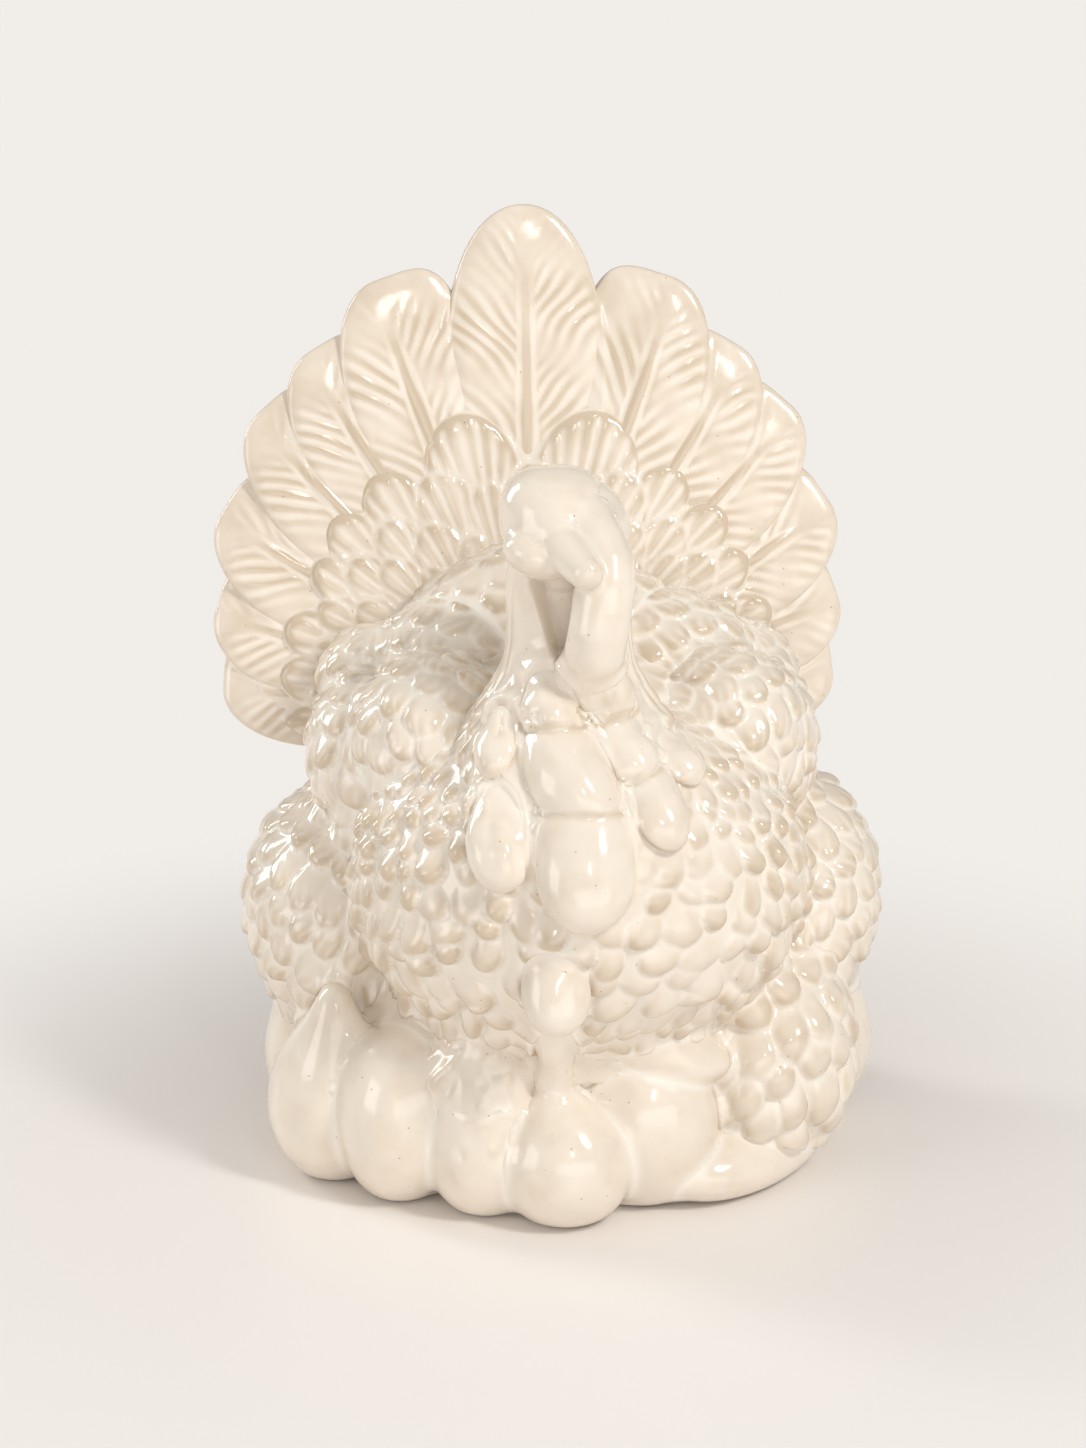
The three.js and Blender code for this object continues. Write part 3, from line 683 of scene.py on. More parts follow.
def signed_volume(points, faces):
    """Six times the volume inside the faces, each cut into triangles from its first corner."""
    first = points[faces[:, 0]]
    return sum(float(np.einsum("ij,ij->i", first, np.cross(points[faces[:, i]],
                                                           points[faces[:, i + 1]])).sum())
               for i in range(1, faces.shape[1] - 1))


def add_piece(name, nodes, grid_points, quads, tris, pool):
    """Makes a closed mesh that faces outwards, with how much glaze pools at each point, and
    gives it to the CAD nodes that it replaces."""
    points = grid_points * MM + AXIS_FOOT
    if signed_volume(points, quads) + signed_volume(points, tris) < 0:
        quads, tris = quads[:, ::-1], tris[:, ::-1]
    mesh = bpy.data.meshes.new(name)
    mesh.vertices.add(len(points))
    mesh.vertices.foreach_set("co", points.astype(np.float32).ravel())
    mesh.loops.add(quads.size + tris.size)
    mesh.loops.foreach_set("vertex_index", np.concatenate(
        [quads.ravel(), tris.ravel()]).astype(np.int32))
    mesh.polygons.add(len(quads) + len(tris))
    mesh.polygons.foreach_set("loop_start", np.concatenate(
        [np.arange(len(quads)) * 4, quads.size + np.arange(len(tris)) * 3]).astype(np.int32))
    mesh.update(calc_edges=True)
    mesh.polygons.foreach_set("use_smooth", np.ones(len(quads) + len(tris), bool))
    # Pooled and thin glaze, with painted shade under the drops' feet and over the fan
    layer = mesh.attributes.new("glaze_pool_and_shade", "FLOAT", "POINT")
    layer.data.foreach_set("value", pool.astype(np.float32))
    if mesh.validate():
        raise RuntimeError(f"the surface of {name} has faulty faces")
    piece = bpy.data.objects.new(name, mesh)
    bpy.context.scene.collection.objects.link(piece)
    mesh.materials.append(glaze())
    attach(piece, "root")
    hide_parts(*nodes)


def lay_surface(name, nodes, grid, pool):
    """Closes a grid whose first and last rows are poles and whose columns go round, with
    quads between and a fan of triangles at each pole."""
    rows, columns = grid.shape[:2]
    points = np.vstack([grid[0].mean(0), grid[1:-1].reshape(-1, 3), grid[-1].mean(0)])
    values = np.concatenate([[pool[0].mean()], pool[1:-1].ravel(), [pool[-1].mean()]])
    index = 1 + np.arange((rows - 2) * columns).reshape(rows - 2, columns)
    after = np.roll(index, -1, 1)
    quads = np.stack([index[:-1], index[1:], after[1:], after[:-1]], -1).reshape(-1, 4)
    top = np.stack([np.zeros(columns, int), index[0], after[0]], -1)
    foot = np.stack([np.full(columns, len(points) - 1), after[-1], index[-1]], -1)
    add_piece(name, nodes, points, quads, np.vstack([top, foot]), values)


def lay_ring(name, nodes, grid):
    """Closes a grid that goes round both ways, without pools of glaze."""
    index = np.arange(grid[..., 0].size).reshape(grid.shape[:2])
    down, after = np.roll(index, -1, 0), np.roll(index, -1, 1)
    quads = np.stack([index, down, np.roll(down, -1, 1), after], -1).reshape(-1, 4)
    add_piece(name, nodes, grid.reshape(-1, 3), quads, np.empty((0, 3), int),
              np.zeros(index.size))


def pooled(relief, seam, blur=6, scale=1.0, most=0.15):
    """Where glaze gathers: above zero in hollows, up to most, and at joints, below zero on
    raised parts. A hollow counts by its depth under its blurred surroundings over scale."""
    hollow = (blurred(relief, blur) - relief) / scale
    return np.clip(hollow, -1, most) + seam


def keep(points):
    return points


def plain(points, down, around):
    return np.zeros_like(down)


def lay_glazed(name, nodes, own, points, outward, relief, finish=keep, **pooling):
    """Lays a grid with its relief and the glaze at its joints, and finishes its hidden side."""
    placed, seam = settle(points, outward, relief, own)
    lay_surface(name, nodes, finish(placed), pooled(relief, seam, **pooling))


def glazed_lump(name, nodes, own, relief_of, fine, pole=(0, 0, 1), front=(0, -1, 0),
                spread=np.pi, finish=tuck_into_body, **pooling):
    """Lays a rounded lump over a mass, with the relief that a function of its grid gives."""
    points, outward, down, around = grid_over(MASSES[own], pole, front, fine, spread)
    lay_glazed(name, nodes, own, points, outward, relief_of(points, down, around), finish,
               **pooling)


def linear(red, green, blue):
    """A colour written in screen values from 0 to 255, as the light that it stands for."""
    share = np.array([red, green, blue]) / 255
    light = np.where(share <= 0.04045, share / 12.92, ((share + 0.055) / 1.055) ** 2.4)
    return tuple(float(value) for value in light)


def colour_property(name, description, screen):
    return bpy.props.FloatVectorProperty(
        name=name, description=description, default=linear(*screen), size=3, min=0, max=1,
        subtype="COLOR")


def length_property(name, description, millimetres):
    return bpy.props.FloatProperty(
        name=name, description=description, default=millimetres * MM, min=0,
        subtype="DISTANCE", unit="LENGTH", precision=5)


class GlazeSettings(bpy.types.PropertyGroup):
    """Colours and gloss of the glaze."""
    body: colour_property("Glaze", "Colour of the glaze at its usual thickness", (236, 225, 210))
    thin: colour_property("Thin glaze", "Colour where glaze runs off raised parts",
                          (211, 194, 171))
    pool: colour_property("Pooled glaze", "Colour where glaze gathers", (246, 240, 230))
    speck: colour_property("Specks", "Colour of the fine iron specks", (170, 132, 96))
    roughness: bpy.props.FloatProperty(
        name="Roughness", description="Roughness of the fired glaze", default=0.14, min=0,
        max=1)
    ripple: length_property("Ripple", "Height of the slow ripple in the glaze", 0.16)


class ReliefSettings(bpy.types.PropertyGroup):
    """Depth of the modelled relief and how finely it is divided."""
    scale_rise: length_property("Breast scale rise", "Height of a breast scale at its tip", 2.5)
    barb_depth: length_property("Barb depth", "Depth of the grooves in a tail feather", 0.34)
    fillet: length_property("Glaze fillet", "Reach of the glaze that fills a joint", 2.6)
    fine: length_property("Grid spacing", "Spacing of the grids that carry relief", 0.66)


class StageSettings(bpy.types.PropertyGroup):
    """Floor, lamps and camera."""
    floor: colour_property("Floor", "Colour of the floor", (242, 237, 233))
    backdrop: colour_property("Backdrop", "Colour of the floor far away", (241, 237, 232))
    lens: bpy.props.FloatProperty(
        name="Lens", description="Focal length of the camera", default=79.56, min=1,
        unit="CAMERA", subtype="NONE")
    distance: length_property("Distance", "From the camera to the point that it looks at", 900)


GLAZE_NAME = "cream_glaze"


def node(tree, kind, inputs=None, **settings):
    """A new node with its settings and its inputs: a value is set, a socket is linked."""
    made = tree.nodes.new(kind)
    for key, value in settings.items():
        setattr(made, key, value)
    for key, value in (inputs or {}).items():
        if isinstance(value, bpy.types.NodeSocket):
            tree.links.new(value, made.inputs[key])
        else:
            made.inputs[key].default_value = value
    return made


def glaze():
    """The cream glaze: thin and tan on raised parts, white where it pools, with fine specks,
    a slow ripple and pinholes."""
    if GLAZE_NAME in bpy.data.materials:
        return bpy.data.materials[GLAZE_NAME]
    settings = bpy.context.scene.turkey_glaze
    material = bpy.data.materials.new(GLAZE_NAME)
    material.use_nodes = True
    tree = material.node_tree
    shader = tree.nodes["Principled BSDF"]
    place = node(tree, "ShaderNodeTexCoord").outputs["Object"]
    # The pool also carries painted shade: darker glaze under the drops' feet and over the fan
    pool = node(tree, "ShaderNodeAttribute", attribute_name="glaze_pool_and_shade").outputs["Fac"]
    drift = node(tree, "ShaderNodeTexNoise", {"Vector": place, "Scale": 90.0, "Detail": 3.0})
    uneven = node(tree, "ShaderNodeMath", {0: drift.outputs["Fac"], 1: 0.5, 2: pool},
                  operation="MULTIPLY_ADD")
    tone = node(tree, "ShaderNodeMapRange", {
        "Value": uneven.outputs[0], "From Min": -0.25, "From Max": 0.95})
    ramp = node(tree, "ShaderNodeValToRGB", {"Fac": tone.outputs[0]})
    stops = ramp.color_ramp.elements
    stops[0].position, stops[0].color = 0.12, (*settings.thin, 1)
    stops[1].position, stops[1].color = 0.8, (*settings.pool, 1)
    middle = stops.new(0.42)
    middle.color = (*settings.body, 1)

    cells = node(tree, "ShaderNodeTexVoronoi", {"Vector": place, "Scale": 420.0}, feature="F1")
    lot = node(tree, "ShaderNodeSeparateColor", {"Color": cells.outputs["Color"]})
    chosen = node(tree, "ShaderNodeMath", {0: lot.outputs[0], 1: 0.9}, operation="GREATER_THAN")
    spot = node(tree, "ShaderNodeMapRange", {
        "Value": cells.outputs["Distance"], "From Min": 0.05, "From Max": 0.14,
        "To Min": 0.75, "To Max": 0.0})
    speck = node(tree, "ShaderNodeMath", {0: chosen.outputs[0], 1: spot.outputs[0]},
                 operation="MULTIPLY")
    specked = node(tree, "ShaderNodeMix", data_type="RGBA")
    tree.links.new(speck.outputs[0], specked.inputs[0])
    tree.links.new(ramp.outputs["Color"], specked.inputs[6])
    specked.inputs[7].default_value = (*settings.speck, 1)
    tree.links.new(specked.outputs[2], shader.inputs["Base Color"])

    breath = node(tree, "ShaderNodeTexNoise", {"Vector": place, "Scale": 260.0, "Detail": 2.0})
    gloss = node(tree, "ShaderNodeMapRange", {
        "Value": breath.outputs["Fac"], "To Min": settings.roughness - 0.04,
        "To Max": settings.roughness + 0.06})
    tree.links.new(gloss.outputs[0], shader.inputs["Roughness"])
    ripple = node(tree, "ShaderNodeTexNoise", {"Vector": place, "Scale": 170.0, "Detail": 1.5})
    slow = node(tree, "ShaderNodeBump", {"Height": ripple.outputs["Fac"],
                                         "Distance": settings.ripple, "Strength": 0.55})
    pin = node(tree, "ShaderNodeBump", {"Height": speck.outputs[0], "Distance": 0.0001,
                                        "Strength": 0.5, "Normal": slow.outputs[0]}, invert=True)
    tree.links.new(pin.outputs[0], shader.inputs["Normal"])
    shader.inputs["IOR"].default_value = 1.52
    shader.inputs["Coat Weight"].default_value = 0.2
    shader.inputs["Coat Roughness"].default_value = 0.06
    return material


def relief_settings():
    """Relief sizes in millimetres."""
    chosen = bpy.context.scene.turkey_relief
    return {key: getattr(chosen, key) / MM
            for key in ("scale_rise", "barb_depth", "fillet", "fine")}


# Scales of the breast: each size as it is near the neck, what it gains low on the breast
# and what it loses in the skirt of small ones at the foot
SCALE_BREADTH, SCALE_LENGTH, SCALE_RISE = (6.0, 3.6, 3.4), (6.4, 2.4, 2.6), (0.75, 0.35, 0.25)
SCALE_EDGE = 8.0
SCALE_HEIGHT = 1.55
# Way from a scale's root to its widest ring
SCALE_WIDEST = 6
# The scales are softest at this x, within this reach
SOFT_PLACE, SOFT_REACH = 24, 17


def breast_scales(points, down, around):
    """Small scales in rows round the neck, growing to full round drops low on the breast,
    softer to the bird's own left, with a close skirt of small ones at the foot."""
    settings = relief_settings()
    mean, along, girth = unrolled(BREAST, down)
    rows = []
    root = SCALE_EDGE
    while root < np.pi * mean - SCALE_EDGE:
        share = root / (np.pi * mean)
        low, skirt = smooth_step(0.25, 0.6, share), smooth_step(0.7, 0.76, share)
        breadth, length, rise = (size + gain * low - loss * skirt for size, gain, loss in
                                 (SCALE_BREADTH, SCALE_LENGTH, SCALE_RISE))
        rows.append((root, 1.35 * length, breadth, settings["scale_rise"] * rise,
                     max(int(ring_length(mean, root + SCALE_WIDEST) / breadth), 8)))
        root += length
    leaves = overlapped(along, around, girth, rows, seed=11, jitter=0.24, blunt=0.45, edge=2.1,
                        waist=0.62)
    soft = 1.1 - 0.6 * np.exp(-((points[..., 0] - SOFT_PLACE) / SOFT_REACH) ** 2)
    heap = 0.82 + 0.18 * np.sin(0.19 * points[..., 0] + 1.0) * np.sin(0.23 * points[..., 2])
    return SCALE_HEIGHT * leaves.height * soft * heap * (0.12 + 0.88 * beside_apron(points))


def make_body():
    fine = relief_settings()["fine"]
    glazed_lump("breast_skin", ["body_shell"], "breast", breast_scales, fine * 0.98,
                pole=(0, 0.25, 1), spread=1.62)
    glazed_lump("back_skin", ["body_shell"], "back", lambda points, down, around: raised_leaves(
        BACK, down, around, breadth=9, length=9, rise=2.0, seed=12), fine * 1.2,
        pole=(0, 0.5, 0.85))
    egg_skin(fine=1.3)


def over_egg(half, down, around):
    """Points and outward lines of an ellipsoid round the egg's centre."""
    unit = on_sphere(down, around)
    normal = unit / half
    return EGG.centre + unit * half, normal / np.linalg.norm(normal, axis=-1, keepdims=True)


def egg_skin(fine):
    """Outside of the egg from its top down to the pouring hole, round the lip, and back up
    the inside of the wall as a smooth shell."""
    mean = float(np.mean(EGG.half))
    lip = math.pi - math.asin(POUR_HOLE / EGG.half[0])
    turn = np.linspace(-np.pi, np.pi, int(2 * np.pi * mean / fine) + 1)[:-1]
    down, around = np.meshgrid(np.linspace(0, lip, int(lip * mean / fine)), turn, indexing="ij")
    points, outward = over_egg(EGG.half, down, around)
    relief = raised_leaves(EGG, down, around, breadth=10, length=10, rise=1.6, seed=13)
    relief = relief * smooth_step(PLINTH["height"], PLINTH["height"] + 6, points[..., 2])
    placed, seam = settle(points, outward, relief, "egg")
    down, around = np.meshgrid(np.linspace(lip - 0.02, 0, 40), turn, indexing="ij")
    inside, _ = over_egg(EGG.half - CAST_WALL, down, around)
    lay_surface("egg_skin", ["body_shell"], np.vstack([placed, inside]),
                np.vstack([pooled(relief, seam), np.zeros_like(down)]))


def make_plinth():
    """The plinth turned from its profile: foot rim, outside, deck, bore, deck underside and
    the inside of the wall, back to the rim."""
    p = PLINTH
    stops = [(p["foot"] - p["rim"], 0.0), (p["foot"] - 1, 0.0), (p["foot"], 1.0),
             (p["foot"], p["lip"]), (p["top"] + 3, p["lip"] + 6),
             *((reach, height) for height, reach in SKIRT),
             (52.5, 58.0), (46, 50), (41, 46), (36, 42.6), (p["bore"], 41),
             (p["bore"], p["height"] - p["deck"] + 1),
             (p["bore"] + 1, p["height"] - p["deck"]),
             (p["top"] - p["wall"] - 2, p["height"] - p["deck"]),
             (p["top"] - p["wall"], p["height"] - p["deck"] - 2), (p["foot"] - p["rim"], 3.0)]
    closed = np.array(stops + stops[:1])
    steps = np.linspace(0, 1, 9)[:-1]
    section = np.vstack([closed[i] + (closed[i + 1] - closed[i]) * t
                         for i in range(len(stops)) for t in steps])
    turn = full_turn(360)
    ring = np.stack([np.cos(turn), np.sin(turn), 0 * turn], -1)
    grid = section[:, 0, None, None] * ring + section[:, 1, None, None] * np.array([0, 0, 1])
    shown = slice(6 * len(steps), (4 + len(SKIRT)) * len(steps))
    rows = len(grid[shown])
    lift = smooth_step(46, 60, grid[shown][..., 2:]) * 0.8 * np.array([0, 0, 1])
    outward = np.broadcast_to(ring, (rows, *ring.shape)) + lift
    outward = outward / np.linalg.norm(outward, axis=-1, keepdims=True)
    grid[shown], _ = settle(grid[shown], outward, np.zeros((rows, len(turn))), "plinth")
    lay_ring("plinth_ring", ["plinth"], grid)


# Scales of the neck: length, breadth and pitch round a row in mm, rise in shares of a breast
# scale's, first and last root under the neck's top, and the pitch of the rows
NECK_SCALES = {"length": 10.0, "breadth": 5.4, "pitch": 4.8, "rise": 0.8, "first": 34.0,
               "last": 88.0, "row": 5.8}
# Folds of glaze down the neck: their height, half breadth and places round it, in radians
FOLD_HEIGHT, FOLD_BREADTH, FOLD_PLACES = 0.75, 0.055, (-1.38, -1.17, 1.1, 1.33)


def make_neck():
    """The neck turned from its flare and dome, with scales low on the flare and two soft
    folds of glaze down its front corners."""
    s = relief_settings()
    high = NECK["height"]
    over = np.linspace(0, np.pi / 2, 40)[1:]
    height = np.concatenate([[0.0], np.linspace(0.0, high - NECK["dome"], 120),
                             high - NECK["dome"] * (1 - np.sin(over))])
    radius = neck_radius(height)
    radius[[0, -1]] = 0
    slope = np.gradient(radius, height + np.arange(len(height)) * TINY)
    z, turn = np.meshgrid(height, stations(2.3, s["fine"] / 24, 0.12), indexing="ij")
    r = np.broadcast_to(radius[:, None], z.shape)
    points = NECK_FOOT + np.stack([r * np.sin(turn), -r * np.cos(turn) * NECK["depth"], z], -1)
    outward = np.stack([np.sin(turn), -np.cos(turn) / NECK["depth"],
                        np.broadcast_to(-slope[:, None], z.shape)], -1)
    outward[0], outward[-1] = (0, 0, -1), (0, 0, 1)
    outward = np.nan_to_num(np.clip(outward, -30, 30))
    outward /= np.linalg.norm(outward, axis=-1, keepdims=True)
    along = high - z
    t = NECK_SCALES
    rows = []
    for root in np.arange(t["first"], t["last"], t["row"]):
        ring = 2 * np.pi * float(neck_radius(np.array(high - root - t["length"] / 2)))
        rows.append((root, t["length"], t["breadth"], s["scale_rise"] * t["rise"],
                     max(int(ring / t["pitch"]), 10)))
    leaves = overlapped(along, turn, 2 * np.pi * np.maximum(r, 6.0), rows, seed=21, jitter=0.16,
                        blunt=0.45)
    fade = smooth_step(40, 60, along) * smooth_step(0.15, 0.6, np.abs(turn))
    folds = sum(FOLD_HEIGHT * np.exp(-((turn - place) / FOLD_BREADTH) ** 2)
                for place in FOLD_PLACES)
    relief = (leaves.height * fade * beside_apron(points)
              + folds * smooth_step(18, 35, along) * smooth_step(80, 60, along))
    lay_glazed("neck_skin", ["neck"], "neck", points, outward, relief)


def round_grid(centres, sizes, lift, run, side, front, columns):
    """Circles round centres, each with its radius, whose outward lines lift along the run."""
    turn = full_turn(columns)[:, None]
    out = side * np.cos(turn) + front * np.sin(turn)
    lift = lift[:, None, None]
    return centres + out * sizes[:, None, None], out * np.sqrt(1 - lift ** 2) + run * lift


def tube_grid(line, radius, columns, cap_rows=7):
    """A round section carried along a line, closed at both ends by half a ball."""
    run = np.gradient(line, axis=0)
    run /= np.linalg.norm(run, axis=1, keepdims=True)
    side = np.cross(run, np.array([0, -1.0, 0.15]))
    side /= np.linalg.norm(side, axis=1, keepdims=True)
    front = np.cross(side, run)
    cap = np.linspace(0, np.pi / 2, cap_rows)
    size, push = np.sin(cap), np.cos(cap)
    centres = np.vstack([line[0] - run[0] * (push * radius)[:, None], line[1:-1],
                         line[-1] + run[-1] * (push[::-1] * radius)[:, None]])
    even = np.zeros(len(line) - 2)
    lift = np.concatenate([-push, even, push[::-1]])
    sizes = np.concatenate([size, even + 1, size[::-1]]) * radius
    pick = np.concatenate([np.zeros(cap_rows, int), np.arange(1, len(line) - 1),
                           np.full(cap_rows, len(line) - 1)])
    return round_grid(centres[:, None], sizes, lift, run[pick][:, None], side[pick][:, None],
                      front[pick][:, None], columns)


def rod_grid(start, end, wide, narrow, columns=72, straight=36, cap=14):
    """A straight rod that narrows, with a half ball at each end: its profile is a quarter
    circle, a line and a quarter circle, turned about the span."""
    length = np.linalg.norm(end - start)
    axis = (end - start) / length
    side = np.cross(axis, (0.0, 0.0, 1.0))
    side /= np.linalg.norm(side)
    angle = np.linspace(0, np.pi / 2, cap)
    even = np.linspace(0, 1, straight)[1:-1]
    along = np.concatenate([-wide * np.cos(angle), even * length, length + narrow * np.sin(angle)])
    sizes = np.concatenate([wide * np.sin(angle), wide + (narrow - wide) * even,
                            narrow * np.cos(angle)])
    lift = np.concatenate([-np.cos(angle), 0 * even, np.sin(angle)])
    return round_grid(start + axis * along[:, None, None], sizes, lift, axis, side,
                      np.cross(axis, side), columns)


def brow_corners(points, down, around):
    """The skull is squarer than an egg: it swells a little at its two upper corners."""
    local = (points - HEAD.centre) / HEAD.half
    return 5.0 * (local[..., 0] * np.maximum(local[..., 2], 0)) ** 2


def make_head():
    for part, relief_of, fine in (("head", brow_corners, 0.5), ("right_cheek", plain, 0.55),
                                  ("left_cheek", plain, 0.45)):
        glazed_lump(f"{part}_skin", [part], part, relief_of, fine, finish=keep)
    snood_line = curve_through(SNOOD["path"], 70)
    for part, (points, outward) in (
            ("beak", rod_grid(BEAK["root"], BEAK["tip"], BEAK["wide"], BEAK["narrow"])),
            ("snood", tube_grid(snood_line, SNOOD["radius"], 84))):
        lay_glazed(f"{part}_skin", [part], part, points, outward, np.zeros(points.shape[:2]))


# Swell of a drop's lower end; depth, place and reach of the beard's waist, the last two in
# shares of the way down; and how many random lumps a drop has
DROP_SWELL = 1.9
WAIST_DEPTH, WAIST_PLACE, WAIST_REACH = 1.7, 0.52, 0.13
LUMP_COUNT = 14


def drop_relief(name, seed):
    """A drop hangs: its top is drawn in and its lower end swells, and soft random lumps, each
    a bell over the two angles, keep it from being even. The beard has a waist instead."""
    rng = np.random.default_rng(seed)
    lumps = [(rng.uniform(0.6, 2.4), rng.uniform(-1.3, 1.3), rng.uniform(0.2, 0.5),
              rng.uniform(-1, 1) * DROP_LUMPS.get(name, USUAL_LUMPS)) for _ in range(LUMP_COUNT)]
    draw = DROP_DRAWS.get(name, USUAL_DRAW)

    def relief(points, down, around):
        share = down / np.pi
        if name == "beard":
            total = -WAIST_DEPTH * np.exp(-((share - WAIST_PLACE) / WAIST_REACH) ** 2)
        else:
            total = (DROP_SWELL * smooth_step(0.35, 0.8, share)
                     - draw * smooth_step(0.6, 0.0, share))
        for lift, side, size, tall in lumps:
            away = (down - lift) ** 2 + (np.sin(down) * (around - side)) ** 2
            total = total + tall * np.exp(-away / size ** 2)
        return total
    return relief


def make_caruncles():
    for seed, name in enumerate(CARUNCLES):
        glazed_lump(f"{name}_drop", [name], name, drop_relief(name, seed), 0.5, finish=keep)


def make_plumage():
    fine = relief_settings()["fine"]
    for seed, (name, (*_, pole, breadth, length, rise)) in enumerate(PLUMAGE.items(), 31):
        mass = MASSES[name]
        glazed_lump(f"{name}_plumes", [name], name, lambda points, down, around: raised_leaves(
            mass, down, around, breadth, length, rise, seed, fan=0.22), fine, pole=pole,
            front=mass.centre * (1, 0.6, 0), spread=2.0, most=0.3)


# Powers of a blade's corners, its width at the root and length of its tip in shares, and its
# tilt and crown in mm
OUTER_CORNER, INNER_CORNER = 2.1, 4.6
BLADE_ROOT, BLADE_TIP = 0.8, 0.3
FEATHER_TILT, FEATHER_CROWN = 2.4, 1.3
# Rib: its width and what that loses to the tip, its height and that of the middle feather's
# in shares, the depth and place of the grooves beside it, and its swing sideways
RIB = {"width": 2.0, "loss": 0.9, "rise": 0.75, "middle": 0.35, "groove": 0.5, "beside": 1.55,
       "swing": 1.5}
# Barbs: least and most spacing in mm, slant, bow, share of the barb depth
BARBS = {"spacing": (5.4, 6.6), "slant": 1.6, "bow": 0.02, "depth": 0.9}
# The glaze is painted a little thinner and tanner on the upright fan, and half as much so on the
# coverts: partly thinner glaze, partly painted shade that keeps the top of the figure darker
FAN_THIN_AND_SHADE = 0.12
# Rise of the bead of glaze along the feather that lies over, and how white it is
BEAD_RISE, BEAD_TINT = 0.6, 0.12


def feather_half_width(reach, width, along, corner=OUTER_CORNER):
    """Widens evenly from the root to the shoulder, then closes in a superellipse with the
    given corner."""
    tip = reach * BLADE_TIP
    shoulder = reach - tip
    share = np.clip((along - FAN["root"]) / (shoulder - FAN["root"]), 0, 1) ** 0.8
    blade = width / 2 * (BLADE_ROOT + (1 - BLADE_ROOT) * share)
    over = np.clip((along - shoulder) / tip, 0, 1)
    return blade * np.maximum(1 - over ** corner, 0) ** (1 / corner), over


def feather_relief(number, hand, along, x, rho, s):
    """A rib with a groove on either side, and curved barbs that leave it at a slant: waves of
    uneven depth and spacing, which fade at the rib, the outline and the tip."""
    reach = FEATHERS[number][0]
    middle = number == 0
    rng = np.random.default_rng(61 + 2 * number + (hand > 0))
    rib_width = RIB["width"] - RIB["loss"] * (along - FAN["root"]) / (reach - FAN["root"])
    place = x - (0.0 if middle else hand * RIB["swing"] * np.sin((along - 60) * 0.028))
    rib = (RIB["rise"] * np.exp(-(place / rib_width) ** 4) - RIB["groove"] * np.exp(
        -((np.abs(place) - RIB["beside"] * rib_width) / (0.5 * rib_width)) ** 2))
    rib = rib * smooth_step(0.93, 0.55, along / reach) * (RIB["middle"] if middle else 1.0)
    side = np.where(place > 0, 1.0, -1.0)
    spacing = rng.uniform(*BARBS["spacing"])
    wander = sum(rng.uniform(0.05, 0.15) * np.sin(along * rate + rng.uniform(0, 6) + side
                                                 + 0.06 * x) for rate in (0.09, 0.17, 0.37))
    phase = ((along - BARBS["slant"] * np.abs(place) + BARBS["bow"] * x ** 2) / spacing + wander
             + 0.3 * side)
    groove = (0.5 + 0.5 * np.cos(2 * np.pi * phase)) ** 1.1
    strength = 0.55 + 0.45 * np.sin(along * 0.21 + 0.1 * x + side * 1.3 + number)
    fade = (smooth_step(1.3 * rib_width, 3.2 * rib_width, np.abs(place))
            * smooth_step(1.02, 0.8, rho) * (1 - 0.75 * smooth_step(0.78, 0.97, along / reach)))
    return rib - BARBS["depth"] * s["barb_depth"] * strength * groove * fade


def feather_surface(name, nodes, number, hand, s):
    """A feather blade as a closed grid: rows run from root to tip, columns across the front
    and back over the rear. Its thickness follows (1 - rho^5)^(1/5), where rho is 0 on the
    middle and 1 on the outline. It is crowned, squarer at its inner corner, and tilted so
    that its outer edge lies over the next feather; the rear follows the tilt at its edge."""
    reach, width, sweep = FEATHERS[number]
    tip = reach * BLADE_TIP
    shoulder = reach - tip
    fine = s["fine"]
    rows = np.concatenate([
        np.linspace(FAN["root"], shoulder, int((shoulder - FAN["root"]) / fine))[:-1],
        shoulder + tip * np.sin(np.linspace(0, np.pi / 2, int(1.3 * tip / fine)))])
    front = np.linspace(-1, 1, int(width / fine))
    rear = np.linspace(1, -1, int(width / (2.2 * fine)))[1:-1]
    across = np.concatenate([front, rear])
    across = across * (1.2 - 0.2 * across ** 2)
    face = np.concatenate([np.ones(len(front)), -np.ones(len(rear))])
    face[[0, len(front) - 1]] = 0
    along, v = np.meshgrid(rows, across, indexing="ij")
    corner = np.where(v * hand < 0, INNER_CORNER, OUTER_CORNER)
    half, over = feather_half_width(reach, width, along, corner)
    rho = (over ** corner + np.abs(v) ** corner * (1 - over ** corner)) ** (1 / corner)
    rho = np.clip(rho, 0, 1)
    x = v * half
    relief = feather_relief(number, hand, along, x, rho, s)
    outline = np.maximum(1 - rho ** 2, 0) ** 0.25
    bead, seam = inner_joint(number, hand, sweep, along, x, s)
    body = (np.maximum(1 - rho ** 5, 0) ** 0.2 * FAN["thickness"] / 2
            + FEATHER_CROWN * (1 - rho ** 2))
    lift = FEATHER_TILT * hand * x / (width / 2)
    front_z = lift + body + relief * np.minimum(outline * 1.3, 1) + bead * outline
    z = np.where(face > 0, front_z, lift * rho ** 6 - body - 0.5 * relief * outline)
    z = np.where(face == 0, lift, z)
    turn = -hand * math.radians(sweep)
    flat = np.stack([x * math.cos(turn) - along * math.sin(turn),
                     x * math.sin(turn) + along * math.cos(turn), z], -1)
    # The whole blade's glaze is lowered: partly thinner glaze, partly painted shade
    pool = pooled(np.where(face > 0, relief, 0), seam - FAN_THIN_AND_SHADE, blur=5, scale=0.32)
    lay_surface(name, nodes, tuck_into_body(on_fan(flat)), pool)


